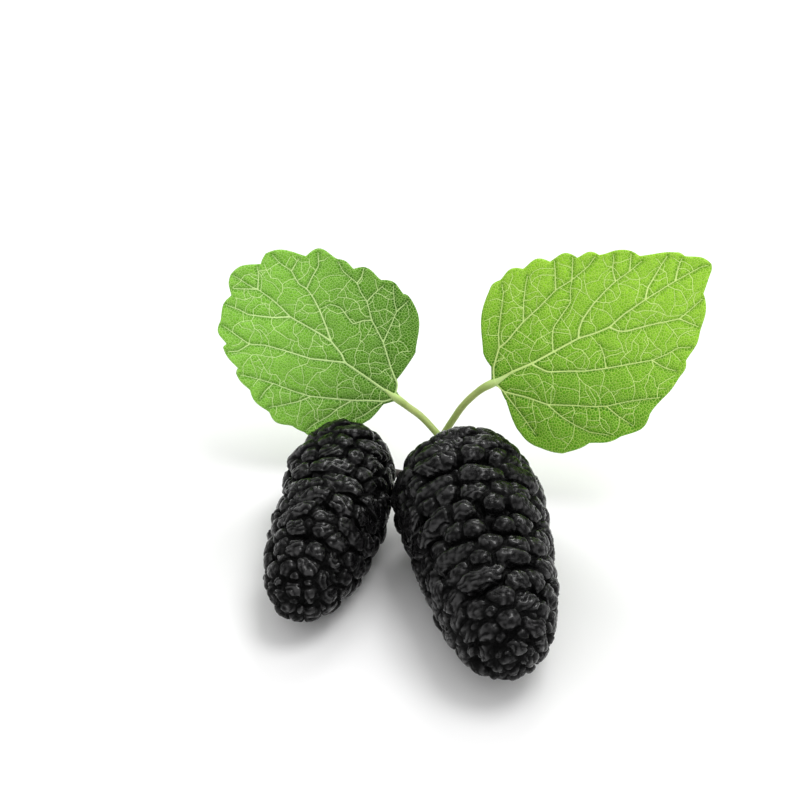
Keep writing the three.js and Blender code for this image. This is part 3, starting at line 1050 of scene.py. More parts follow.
@dataclass(frozen=True)
class LeafForm:
    """Driving sizes of one leaf, as its solid has them, and the courses of its veins.

    A margin runs from the base to the end as (along, across, lobe), where lobe is how far
    the edge bulges between that point and the next. The blade's painted shade, a deeper green
    towards the base, lightens in the direction `paler` over the range of that measure in
    `pale_range`.
    """

    node: str
    base: Point
    tip: Point
    facing: Point
    cup: float
    upper: tuple[Point, ...]
    lower: tuple[Point, ...]
    end: Flat
    midrib: tuple[Flat, ...]
    laterals: tuple[tuple[Flat, ...], ...]
    branches: tuple[tuple[Flat, ...], ...]
    paler: Flat
    pale_range: Pair
    seed: int


LEFT_LEAF = LeafForm(
    node="leaf_left", base=(-7.44, 24.0, 7.42), tip=(-23.6, 26.5, 20.76), facing=(0.11, -0.94, 0.31),
    cup=0.9, end=(21.1, 0.15), seed=5,
    upper=(
        (-0.1, -0.4, 0), (0.6, -0.7, 0.05), (1.15, -1.6, 0.05), (1.58, -5.0, 0.62), (5.6, -9.08, 0.14),
        (6.65, -9.08, 0.5), (9.35, -8.83, 0.62), (12.17, -8.0, 0.25), (13.94, -7.77, 0.92),
        (16.54, -6.0, 0.52), (19.77, -3.67, 0.06), (19.46, -2.58, 0.5),
    ),
    lower=(
        (-0.1, 0.4, 0), (0.55, 1.3, 0.05), (0.7, 3.4, 0.35), (3.0, 7.4, 0.3), (5.2, 8.4, 0.05),
        (6.65, 8.6, 0.5), (9.35, 8.9, 0.38), (12.4, 8.18, 0.17), (14.6, 7.65, 0.05),
        (14.77, 7.12, 0.2), (17.27, 6.33, 0.03), (17.17, 5.87, 0.5), (19.04, 4.46, 0.37),
        (19.77, 1.75, 0.22),
    ),
    midrib=((0, 0), (4.3, 0.15), (6.5, 0.25), (7.2, -0.2), (9, -0.65), (10.5, -0.55), (12.4, -0.3),
            (13.8, -0.1), (15, -0.3), (16.3, -0.4), (18.1, -0.35), (18.8, -0.15), (20.8, 0.0)),
    laterals=(
        ((0.3, -0.3), (0.75, -1.2), (2.5, -2.2), (4.8, -3.8), (7.2, -4.9), (8.9, -6.15), (10, -6.5),
         (10.9, -7.05), (12.8, -7.1), (13.7, -7.55)),
        ((9, -0.65), (10.3, -1.5), (12, -2.5), (13.4, -3.15), (14.35, -3.4), (15.3, -3.3), (16.65, -3.9),
         (18, -3.8), (19.1, -4.0)),
        ((13.8, -0.1), (15.1, 1.0), (17.2, 2.25), (18.2, 2.4), (19.6, 2.8)),
        ((6.5, 0.25), (9.5, 2.05), (12.2, 3.0), (14, 3.7), (15.3, 4.55), (16.8, 4.6), (18.6, 4.65)),
        ((0.2, 0.25), (0.7, 1.0), (2, 1.85), (3.4, 2.9), (5.3, 4.05), (7, 5.1), (9, 5.8), (10.9, 6.3),
         (13, 7.05), (14.1, 7.5)),
    ),
    branches=(
        ((4.8, -3.8), (5.4, -5.75), (5.9, -7.2), (6.75, -7.8), (8.0, -9.1)),
        ((5.9, -7.2), (5.75, -8.7)),
        ((8.9, -6.15), (8.9, -7.2), (8.75, -8.5)),
        ((10.9, -7.05), (11.0, -7.9), (11.4, -8.6)),
        ((14.35, -3.4), (14.7, -4.7), (14.9, -5.95), (15.8, -7.0)),
        ((16.65, -3.9), (16.9, -5.3)),
        ((3.4, 2.9), (4.05, 4.45), (4.25, 5.5), (5, 7.2), (5.2, 8.1)),
        ((7, 5.1), (7.7, 6.3), (9, 7.8), (9.7, 8.5)),
        ((10.9, 6.3), (11.1, 7.6), (11.0, 8.3)),
        ((15.3, 4.55), (15.8, 5.8), (16.6, 6.4)),
        ((0.8, 1.3), (1.5, 3.5), (2.1, 4.5)),
        ((18.1, -0.35), (18.8, -1.4), (19.5, -2.1)),
        ((18.1, -0.35), (19.5, 0.7), (20.1, 1.1)),
        ((7.2, -4.9), (7.9, -4.3), (8.4, -3.4), (10.5, -4.0), (11.5, -3.65), (12, -2.5)),
    ),
    paler=(1.0, 0.5), pale_range=(-1.0, 17.0),
)
RIGHT_LEAF = LeafForm(
    node="leaf_right", base=(2.31, 20.0, 12.32), tip=(22.33, 19.6, 26.34), facing=(-0.02, -0.93, 0.36),
    cup=0.7, end=(24.35, 0.05), seed=8,
    upper=(
        (-0.1, -0.42, 0), (0.15, -0.8, 0.04), (0.0, -2.2, 0.08), (-0.58, -5.2, 0.19),
        (0.08, -7.6, 0.14), (2.17, -9.54, 0.15), (5.08, -9.8, 0.3), (8.2, -10.52, 0.62),
        (12.0, -9.8, -0.03), (12.9, -9.4, 0.12), (16.0, -8.2, 0.25), (17.6, -6.96, 0.22),
        (20.0, -5.33, 0.38), (22.27, -2.1, 0), (23.5, -0.98, 0.12),
    ),
    lower=(
        (-0.1, 0.42, 0), (0.6, 1.55, 0.08), (0.8, 3.3, 0.42), (4.46, 8.17, 0.3), (6.3, 8.8, 0.55),
        (8.8, 8.65, 0.65), (11.4, 7.95, 0.68), (13.85, 7.0, 0.47), (15.8, 6.2, 0.62),
        (19.04, 4.15, 0.13), (22.35, 2.6, 0.04), (22.6, 2.0, 0.37),
    ),
    midrib=((0, 0.1), (2.2, 0.1), (4.25, -0.1), (6.75, -0.1), (9.65, -0.1), (11.3, -0.45), (12.8, -0.6),
            (14.7, -0.15), (17.2, 0.1), (20.6, 0.3), (23.4, 0.3), (24.0, 0.1)),
    laterals=(
        ((0.2, 0.4), (0.7, 1.3), (2.4, 2.9), (3.4, 3.05), (4.5, 3.5), (5.9, 4), (8.2, 4.55), (10.3, 5.2),
         (12.2, 5.3), (14.3, 5.7), (15.3, 6.2)),
        ((9.65, -0.1), (10.1, 0.6), (10.9, 1.3), (12.6, 2.15), (14.5, 2.8), (15.7, 3.1), (17.4, 3.3),
         (18.9, 3.6)),
        ((17.2, 0.1), (18, 1), (20.5, 2.45), (21.2, 2.8)),
        ((20.6, 0.3), (21.3, 1.1), (22.2, 1.9)),
        ((4.25, -0.1), (4.75, -0.95), (5.2, -1.6), (7, -2.5), (8.4, -3.25), (10.4, -4), (12.6, -4.7),
         (14.7, -5.4), (16.3, -5.6), (17.5, -5.55), (18.6, -6.1)),
        ((12.8, -0.6), (13.4, -1.4), (14.05, -1.75), (16.3, -2.3), (19.05, -3.15), (20.5, -2.85),
         (21.9, -2.5)),
        ((0.1, -0.4), (0.3, -1.25), (2, -2.85), (3.4, -4.5), (5.6, -5.75), (7.2, -6.7), (8.5, -7.3),
         (10.7, -7.85), (12.2, -8.35), (13.6, -8.9)),
    ),
    branches=(
        ((2.4, 2.9), (3.2, 4.25), (4.7, 6.1), (5.8, 7.4), (6.2, 8.3)),
        ((5.9, 4), (7, 5.7), (8, 6.95), (8.8, 7.8)),
        ((10.3, 5.2), (11.3, 6.85), (11.8, 7.8)),
        ((12.2, 5.3), (13.5, 7.2)),
        ((15.7, 3.1), (16.1, 4.25), (17, 5.5)),
        ((17.4, 3.3), (18.4, 4.7)),
        ((19.05, -3.15), (20.2, -4.7)),
        ((3.4, -4.5), (4.05, -6.4), (4.8, -7.7), (5.7, -8.9), (7.2, -9.9)),
        ((8.5, -7.3), (9, -8.55), (9.9, -10.1)),
        ((0.3, -1.25), (0.6, -4.5), (0.7, -6.6)),
        ((6.75, -0.1), (7.4, 1.1), (8.1, 2.05), (10.9, 3.4), (11.5, 4.45), (12.2, 5.3)),
        ((10.4, -4), (10.95, -2.7), (11.1, -1.6)),
        ((14.7, -5.4), (15.4, -6.6), (16.2, -7.4)),
    ),
    paler=(1.3, 1.2), pale_range=(0.0, 26.0),
)


@dataclass(frozen=True)
class LeafFinish:
    """Green of one leaf's blade, with its paler net and painted shade towards its base and beside its veins,
    and the finish of its ribs.
    """

    name: str
    # deep is the bright green in painted shade, used towards the leaf's base.
    deep: Colour
    bright: Colour
    net: Colour
    rib: Colour
    back: Colour
    smooth: float = 0.42
    rough: float = 0.6
    rib_rough: float = 0.58
    specular: float = 0.22
    patch_scale: float = 190.0
    grain_scale: float = 5200.0
    rib_grain_scale: float = 2500.0
    patch_tint: Tint = (0.3, (0.75, 0.82, 0.6))
    cell_tint: Tint = (0.7, (0.58, 0.70, 0.3))
    # Painted shade: the rim tint darkens the blade beside the finest net lines.
    rim_shade_tint: Tint = (0.5, (0.35, 0.5, 0.25))
    # Painted shade: this tint and the two ramps below darken the blade in bands beside the ribs and the
    # rungs.
    rib_shadow_tint: Colour = (0.45, 0.56, 0.3)
    rib_shadow_ramp: Ramp = (0.03, 0.45, 0.9, 0)
    rung_shadow_ramp: Ramp = (0.03, 0.2, 0.3, 0)
    net_share: float = 0.46
    rib_line: Ramp = (-0.02, 0.05, 0.8, 0.0)
    rung_line: Ramp = (-0.02, 0.05, 0.6, 0.0)
    back_share: float = 0.75
    rib_shade: float = 0.88
    grain_share: float = 0.3
    bump_height: float = 0.00007
    bump_strength: float = 0.8

    def blade(self, mottle: NodeTree, net: NodeTree) -> Material:
        """Builds the blade's material.

        Args:
            mottle: The group for uneven tone.
            net: The group for the net of fine veins.

        Returns:
            The material.
        """
        material, sketch, shader = new_material(f"{self.name} blade")
        tone, grain = sketch.tone(mottle, self.patch_scale, self.grain_scale)
        fine, rim_shade, cells, relief = sketch.add("ShaderNodeGroup", node_tree=net).outputs
        gap, rung_gap, shade, behind = map(sketch.mask, ("rib_gap", "rung_gap", "shade", "behind"))
        # Painted shade: the green darkens from bright to deep towards the leaf's base.
        colour = sketch.blend(shade, self.bright, self.deep)
        # Random tone and per-mesh tint vary the green; the rim tint is painted shade beside the finest lines.
        for mask, (share, tint) in ((tone, self.patch_tint), (cells, self.cell_tint), (rim_shade, self.rim_shade_tint)):
            colour = sketch.blend(sketch.times(mask, share), colour, tint, "MULTIPLY")
        # Painted shade in bands beside the ribs and the rungs.
        ribs, rungs = sketch.ramp(gap, *self.rib_shadow_ramp), sketch.ramp(rung_gap, *self.rung_shadow_ramp)
        colour = sketch.blend(sketch.math("MAXIMUM", ribs, rungs), colour, self.rib_shadow_tint, "MULTIPLY")
        for share, paint in (
                (sketch.times(fine, self.net_share), self.net),
                (sketch.ramp(rung_gap, *self.rung_line), self.rib),
                (sketch.ramp(gap, *self.rib_line), self.rib),
                (sketch.times(behind, self.back_share), self.back),
        ):
            colour = sketch.blend(share, colour, paint)
        height = sketch.math("ADD", sketch.times(grain, self.grain_share), relief)
        sketch.join(shader, {
            "Base Color": colour, "Roughness": sketch.ramp(grain, 0, 1, self.smooth, self.rough),
            "Normal": sketch.bump(height, self.bump_height, self.bump_strength),
            "Specular IOR Level": self.specular,
        })
        return material

    def ribs(self, mottle: NodeTree) -> Material:
        """Builds the material of the raised ribs.

        Args:
            mottle: The group for uneven tone.

        Returns:
            The material.
        """
        material, sketch, shader = new_material(f"{self.name} ribs")
        tone, grain = sketch.tone(mottle, self.patch_scale * 2, self.rib_grain_scale)
        shaded = tuple(self.rib_shade * c for c in self.rib)
        sketch.join(shader, {
            "Base Color": sketch.blend(tone, self.rib, shaded), "Specular IOR Level": self.specular,
            "Roughness": sketch.ramp(grain, 0, 1, self.smooth, self.rib_rough),
        })
        return material


def net_group(spacing: float) -> NodeTree:
    """Net of the finest veins on a leaf.

    Args:
        spacing: Size of the net's meshes, in millimetres.

    Returns:
        A group that puts out masks for the Fine lines and the Rim of painted shade beside
        them, a Tint for each mesh and the Relief of the meshes.
    """
    names = ("Fine", "Rim", "Tint", "Relief")
    sketch, _, result = new_group("net of fine veins", "Shader", {}, dict.fromkeys(names, "Float"))
    flat = sketch.add("ShaderNodeAttribute", attribute_name="flat").outputs["Vector"]
    values = {"Vector": flat, "Scale": 1 / spacing}
    edge = sketch.times(sketch.out("ShaderNodeTexVoronoi", values, **CELL_EDGES), spacing)
    cell = sketch.add("ShaderNodeTexVoronoi", values, voronoi_dimensions="2D").outputs["Color"]
    sketch.join(result, {
        "Fine": sketch.ramp(edge, *FINE_LINE), "Rim": sketch.ramp(edge, *FINE_RIM_SHADE),
        "Tint": sketch.out("ShaderNodeSeparateColor", {0: cell}), "Relief": sketch.ramp(edge, *FINE_SWELL),
    })
    return sketch.tree


@dataclass
class VeinGrowth:
    """Grows finer veins across the fields of a blade.

    Each starts on a vein, runs about square to it with small kinks, and ends where it
    meets another vein or comes near the edge of the blade.
    """

    outline: Array
    seed: int
    step: float = 0.15
    kink_run: float = 0.75
    kink: float = math.radians(52)
    lean: float = math.radians(24)
    meet: float = 0.17
    edge: float = 0.35
    away: int = 3
    shortest: int = 5
    longest: int = 50
    cell: float = 0.2
    first_gap: Pair = (0.4, 1.0)
    next_gap: Pair = (0.75, 1.25)
    end_clear: float = 0.3
    most_lean: float = 1.4

    def __post_init__(self) -> None:
        """Measures the blade on a grid and starts with no veins."""
        self.random = np.random.RandomState(self.seed)
        self.taken = np.empty((0, 2))
        self.low = self.outline.min(axis=0)
        size = np.ceil((self.outline.max(axis=0) - self.low) / self.cell).astype(int) + 1
        grid = np.stack(np.meshgrid(np.arange(size[0]), np.arange(size[1]), indexing="ij"), axis=-1)
        places = self.low + grid.reshape(-1, 2) * self.cell
        self.room = outline_gap(places, self.outline).reshape(size)

    def claim(self, path: Array) -> None:
        """Adds a vein to those that others stop at."""
        self.taken = np.concatenate([self.taken, self.dense(path)])

    @staticmethod
    def dense(path: Array, pieces: int = 3) -> Array:
        """Returns a path with each of its steps cut into some pieces."""
        rows = np.linspace(0, len(path) - 1, pieces * (len(path) - 1) + 1)
        return np.stack([np.interp(rows, np.arange(len(path)), column) for column in path.T], axis=1)

    def is_open(self, spot: Array) -> bool:
        """Looks whether a spot lies on the blade, clear of its edge.

        Args:
            spot: The spot.

        Returns:
            Whether it does.
        """
        row, column = np.round((spot - self.low) / self.cell).astype(int)
        within = 0 <= row < self.room.shape[0] and 0 <= column < self.room.shape[1]
        return bool(within and self.room[row, column] > self.edge)

    def grow(self, parents: list[Array], spacing: float) -> list[Array]:
        """Grows veins from both sides of some others.

        Args:
            parents: The veins that they start on.
            spacing: Distance from one to the next along a vein.

        Returns:
            The paths of the new veins.
        """
        grown = []
        for parent in map(self.dense, parents):
            run = np.cumsum([0, *np.linalg.norm(np.diff(parent, axis=0), axis=1)])
            for side in (-1, 1):
                at = spacing * self.random.uniform(*self.first_gap)
                while at < run[-1] - self.end_clear:
                    row = int(np.searchsorted(run, at))
                    way = parent[row] - parent[row - 1]
                    heading = math.atan2(way[1], way[0])
                    heading += side * (math.pi / 2 - self.lean * self.random.uniform(0, self.most_lean))
                    path = self.rung(parent[row], heading)
                    if path is not None:
                        grown.append(path)
                        self.claim(path)
                    at += spacing * self.random.uniform(*self.next_gap)
        return grown

    def rung(self, start: Array, heading: float) -> Array | None:
        """One vein across a field.

        Args:
            start: Where it starts.
            heading: The angle at which it sets out.

        Returns:
            Its path, or None where there is too little room for it.
        """
        path = [start]
        for count in range(1, self.longest):
            if count % round(self.kink_run / self.step) == 0:
                heading += self.kink * self.random.uniform(-1, 1)
            spot = path[-1] + self.step * np.array((math.cos(heading), math.sin(heading)))
            if not self.is_open(spot):
                break
            gaps = np.linalg.norm(self.taken - spot, axis=1)
            path.append(spot)
            if count >= self.away and gaps.min() < self.meet:
                path[-1] = self.taken[gaps.argmin()]
                break
        return np.array(path) if len(path) > self.shortest else None


def quilt_tree() -> NodeTree:
    """Node tree that raises the meshes of the net on a leaf's blade.

    Returns:
        The tree. The blade's points carry their flat place and their gaps to the veins.
    """
    inputs = {
        "Blade": ("Geometry",), "Facing": ("Vector",), "Field Rise": ("Float", 0.07),
        "Field Reach": ("Float", 0.45), "Fine Spacing": ("Float",), "Fine Rise": ("Float", 0.022),
        "Fine Reach": ("Float", 0.3), "Finish": ("Material",),
    }
    sketch, given, result = new_group("quilted blade", "Geometry", inputs, {"Blade": "Geometry"})
    gap = sketch.math("MINIMUM", sketch.stored("rib_gap"), sketch.stored("rung_gap"))
    field = sketch.ramp(gap, 0.0, given["Field Reach"])
    values = {"Vector": sketch.stored("flat", "FLOAT_VECTOR"),
              "Scale": sketch.math("DIVIDE", 1.0, given["Fine Spacing"])}
    edge = sketch.ramp(sketch.out("ShaderNodeTexVoronoi", values, **CELL_EDGES), 0, given["Fine Reach"])
    fine = sketch.times(sketch.times(edge, given["Fine Rise"]), field)
    lift = sketch.math("MULTIPLY_ADD", field, given["Field Rise"], fine)
    offset = sketch.out("ShaderNodeVectorMath", {0: given["Facing"], "Scale": lift}, operation="SCALE")
    raised = sketch.out("GeometryNodeSetPosition", {"Geometry": given["Blade"], "Offset": offset})
    sketch.dress(raised, given["Finish"], result)
    return sketch.tree


@dataclass(frozen=True)
class Leaf:
    """A young leaf: a thin quilted blade with waved edges, and ribs that stand off it."""

    form: LeafForm
    slot: Slot
    spacing: float = 0.12
    half_thickness: float = 0.15
    edge_round: float = 0.35
    lobe_pieces: int = 14
    rib_rise: float = 0.28
    rib_reach: float = 1.1
    tip_droop: float = 0.3
    half_width: float = 9.0
    ripple: float = 0.35
    ripple_turns: float = 7.0
    midrib_width: float = 0.125
    lateral_width: float = 0.082
    branch_width: float = 0.055
    rung_widths: Pair = (0.028, 0.02)
    rung_spacings: Pair = (2.2, 2.1)
    end_width: float = 0.025
    vein_step: float = 0.25
    fine_spacing: float = 0.28
    rib_sides: int = 8
    lobe_power: float = 1.3
    taper_power: float = 0.8
    rung_end: float = 0.7
    clear_edge: float = 0.6
    cell_warp: float = 0.35
    warp_scale: float = 0.55
    warp_shift: float = 1.7
    warp_levels: Pair = (3.0, 6.0)
    seed_shift: Triple = (7.0, 3.0, 0)
    rib_seats: tuple[Triple, ...] = ((1, 0.25, 1.0), (-1, 0.2, 1.5))
    rung_seats: tuple[Triple, ...] = ((1, 0.1, 1.0),)

    def axes(self) -> tuple[Array, Array, Array]:
        """Directions of the leaf.

        Returns:
            Those along the midrib, across it and out of the leaf's face.
        """
        along = unit(np.subtract(self.form.tip, self.form.base))
        across = unit(np.cross(self.form.facing, along))
        return along, across, np.cross(along, across)

    def margin(self, side: Margin) -> Array:
        """One margin from the base to the leaf's end.

        Args:
            side: Which margin.

        Returns:
            Its points.
        """
        stops = [*(self.form.upper if side is Margin.UPPER else self.form.lower), (*self.form.end, 0)]
        points = []
        for (x0, y0, lobe), (x1, y1, _) in zip(stops, stops[1:]):
            chord = np.array((x1 - x0, y1 - y0))
            out = unit(np.array((-chord[1], chord[0]))) * side.value
            for share in np.arange(self.lobe_pieces) / self.lobe_pieces:
                bulge = lobe * math.sin(math.pi * share**self.lobe_power)
                points.append(np.array((x0, y0)) + chord * share + out * bulge)
        return np.array(points)

    def outline(self) -> Array:
        """Returns the closed outline, against the clock, from the upper margin's base."""
        upper, lower = self.margin(Margin.UPPER), self.margin(Margin.LOWER)
        return np.array([*upper, self.form.end, *lower[::-1]])

    def veins(self) -> list[Vein]:
        """Gathers the veins that were laid out one by one.

        Returns:
            The midrib, the laterals and their branches.
        """
        form = self.form
        groups = (((form.midrib,), self.midrib_width), (form.laterals, self.lateral_width),
                  (form.branches, self.branch_width))
        return [Vein(course, width) for courses, width in groups for course in courses]

    def vein_path(self, vein: Vein) -> tuple[Array, Array]:
        """Returns the flat points of a vein, and its half width at each of them."""
        path = kinked_path(np.array(vein.course), self.vein_step)
        return path, vein.width + (self.end_width - vein.width) * path_shares(path) ** self.taper_power

    def rungs(self) -> list[tuple[Array, Array]]:
        """Grows the finer veins across the fields.

        Returns:
            Their paths, each with its half widths.
        """
        growth = VeinGrowth(self.outline(), self.form.seed)
        parents = [self.vein_path(vein)[0] for vein in self.veins()]
        for path in parents:
            growth.claim(path)
        paths = []
        for spacing, width in zip(self.rung_spacings, self.rung_widths):
            parents = growth.grow(parents, spacing)
            paths += [(path, np.linspace(width, self.rung_end * width, len(path))) for path in parents]
        return paths

    @staticmethod
    def gaps(flat: Array, paths: list[tuple[Array, Array]]) -> tuple[Array, Array]:
        """Distances from points of the blade to some veins.

        Args:
            flat: The points, in leaf coordinates.
            paths: The points of each vein and its half widths.

        Returns:
            The distance to the side of the nearest vein, below 0 on it, and to its middle.
        """
        spots = np.concatenate([VeinGrowth.dense(np.c_[path, width], 4) for path, width in paths])
        tree = kdtree.KDTree(len(spots))
        for row, (x, y, _) in enumerate(spots):
            tree.insert((x, y, 0), row)
        tree.balance()
        found = [tree.find((x, y, 0)) for x, y in flat]
        middle = np.array([distance for _, _, distance in found])
        return middle - spots[[row for _, row, _ in found], 2], middle

    def height(self, flat: Array, middle: Array) -> Array:
        """How far the blade stands in front of the leaf's plane.

        Args:
            flat: Points in leaf coordinates.
            middle: Their distances to the middle of the nearest rib.

        Returns:
            The height at each point.
        """
        wide = (flat[:, 1] / self.half_width) ** 2
        long = flat[:, 0] / self.form.end[0]
        puff = self.rib_rise * (1 - np.exp(-middle / self.rib_reach))
        ripple = self.ripple * wide * np.sin(self.ripple_turns * long + 2 * np.sign(flat[:, 1]))
        return puff + self.form.cup * wide - self.tip_droop * long**2 + ripple

    def to_space(self, flat: Array, height: Array) -> Array:
        """Brings points of the blade to their places in space.

        Args:
            flat: The points, in leaf coordinates.
            height: Their heights over the leaf's plane.

        Returns:
            The places.
        """
        along, across, facing = self.axes()
        sides = flat[:, :1] * along + flat[:, 1:] * across
        return np.array(self.form.base) + sides + height[:, None] * facing

    def flat_mesh(self) -> tuple[Array, Array]:
        """Fills the outline with even triangles.

        Returns:
            The flat points, and the triangles, each turned against the clock.
        """
        outline = self.outline()
        low, high = outline.min(axis=0), outline.max(axis=0)
        rows = np.arange(low[1], high[1], self.spacing * math.sin(math.pi / 3))
        inner = np.array([
            (x, y) for k, y in enumerate(rows)
            for x in np.arange(low[0] + self.spacing * 0.5 * (k % 2), high[0], self.spacing)
        ])
        inner = inner[outline_gap(inner, outline) > self.clear_edge * self.spacing]
        points = [Vector(p) for p in np.concatenate([outline, inner])]
        found = delaunay_2d_cdt(points, [], [list(range(len(outline)))], 1, FILL_GAP)
        places, faces = np.array([tuple(p) for p in found[0]]), np.array(found[2])
        a, b, c = places[faces].transpose(1, 2, 0)
        turned = (b[0] - a[0]) * (c[1] - a[1]) <= (b[1] - a[1]) * (c[0] - a[0])
        faces[turned] = faces[turned][:, [0, 2, 1]]
        return places, faces

    def blade(self, tree: NodeTree, material: Material) -> None:
        """Builds the blade.

        Args:
            tree: The node tree that quilts it.
            material: Its material.
        """
        flat, faces = self.flat_mesh()
        side, middle = self.gaps(flat, [self.vein_path(vein) for vein in self.veins()])
        rung_side, _ = self.gaps(flat, self.rungs())
        inset = np.maximum(outline_gap(flat, self.outline()), 0)
        off_rim = inset >= WELD_GAP
        behind = int(off_rim.sum())
        share = np.clip(inset / self.edge_round, 0, 1)
        half = self.half_thickness * np.sqrt(1 - (1 - share) ** 2)
        height = self.height(flat, middle)
        backs = self.to_space(flat, height - half)[off_rim]
        back_row = np.arange(len(flat))
        back_row[off_rim] = len(flat) + np.arange(behind)
        obj = working_object(
            f"{self.form.node}_blade", np.concatenate([self.to_space(flat, height + half), backs]),
            faces=np.concatenate([faces, back_row[faces[:, ::-1]]]).tolist(),
        )
        levels = [np.full(len(flat), level + self.form.seed) for level in self.warp_levels]
        warp = np.stack([noise_of(np.c_[flat * self.warp_scale, level], self.warp_shift)
                         for level in levels], axis=1)
        cells = np.c_[flat + self.cell_warp * warp, np.zeros(len(flat))]
        layers = {"flat": cells + self.form.seed * np.array(self.seed_shift), "rib_gap": side,
                  "rung_gap": rung_side, "shade": self.shade(flat)}
        mark(obj.data, **{name: np.concatenate([values, values[off_rim]]) for name, values in layers.items()},
             behind=np.repeat((0.0, 1.0), (len(flat), behind)))
        facing = tuple(float(c) for c in self.axes()[2])
        run_nodes(obj, tree, {"Facing": facing, "Fine Spacing": self.fine_spacing, "Finish": material})
        blade = settle(obj, f"{self.form.node}_blade")
        finish_piece(blade, self.form.node, material)

    def shade(self, flat: Array) -> Array:
        """Returns how deep the painted shade is at some flat points, from 0 to 1, deepest at the base."""
        return 1 - smoothstep(flat @ np.array(self.form.paler), *self.form.pale_range)

    def ribs(self, tree: NodeTree, material: Material) -> None:
        """Builds the ribs on the front and, stouter, on the back.

        Args:
            tree: The node tree for limbs.
            material: The ribs' material.
        """
        veins = [self.vein_path(vein) for vein in self.veins()]
        paths = []
        for group, seats in ((veins, self.rib_seats), (self.rungs(), self.rung_seats)):
            for flat, width in group:
                height = self.height(flat, self.gaps(flat, veins)[1])
                for side, sunk, stout in seats:
                    level = height + side * self.half_thickness - sunk * width
                    paths.append((self.to_space(flat, level), stout * width))
        obj = limbs(f"{self.form.node}_ribs", paths, tree, self.rib_sides, material)
        finish_piece(obj, self.form.node, material)


def outline_gap(flat: Array, outline: Array) -> Array:
    """Distances from flat points to a closed outline.

    Args:
        flat: The points.
        outline: The outline's points.

    Returns:
        The distance of each point, below 0 outside the outline.
    """
    gap = np.full(len(flat), np.inf)
    inside = np.zeros(len(flat), bool)
    for a, b in zip(outline, np.roll(outline, -1, axis=0)):
        run = b - a
        share = np.clip((flat - a) @ run / (run @ run), 0, 1)
        gap = np.minimum(gap, np.linalg.norm(flat - a - share[:, None] * run, axis=1))
        if a[1] != b[1]:
            crossing = a[0] + (flat[:, 1] - a[1]) * (b[0] - a[0]) / (b[1] - a[1])
            inside ^= ((a[1] > flat[:, 1]) != (b[1] > flat[:, 1])) & (flat[:, 0] < crossing)
    return np.where(inside, gap, -gap)


@dataclass(frozen=True)
class Limb:
    """One limb of the shoot: its route, its radii at both ends, and the leaf that it bears."""

    route: tuple[Point, ...]
    radii: Pair
    leaf: LeafForm | None = None


@dataclass(frozen=True)
class ShootFinish:
    """Pale green shoot skin: brown at the cut, painted shadow low on a berry stalk, paler at the leaves."""

    pale: Colour = (0.46, 0.54, 0.17)
    green: Colour = (0.33, 0.45, 0.11)
    cut: Colour = (0.30, 0.22, 0.09)
    # Near-black painted shadow, for the low stalk of the small berry.
    painted_shadow: Colour = (0.045, 0.035, 0.03)
    foot: Colour = (0.66, 0.88, 0.30)
    patch_scale: float = 260.0
    grain_scale: float = 3200.0
    grain_height: float = 0.00003
    grain_strength: float = 0.6
    grain_share: float = 0.3
    smooth: float = 0.4
    rough: float = 0.6

    def material(self, mottle: NodeTree) -> Material:
        """Builds the material.

        Args:
            mottle: The group for uneven tone.

        Returns:
            The material.
        """
        material, sketch, shader = new_material("green shoot")
        tone, grain = sketch.tone(mottle, self.patch_scale, self.grain_scale)
        colour = sketch.blend(tone, self.pale, self.green)
        colour = sketch.blend(sketch.times(grain, self.grain_share), colour, self.green)
        # The second mask paints a near-black shadow on the low stalk of the small berry; the cut and the foot
        # are the shoot's own colours.
        for name, paint in (("cut", self.cut), ("stain", self.painted_shadow), ("foot", self.foot)):
            colour = sketch.blend(sketch.mask(name), colour, paint)
        sketch.join(shader, {
            "Base Color": colour, "Roughness": sketch.ramp(grain, 0, 1, self.smooth, self.rough),
            "Normal": sketch.bump(grain, self.grain_height, self.grain_strength),
        })
        return material


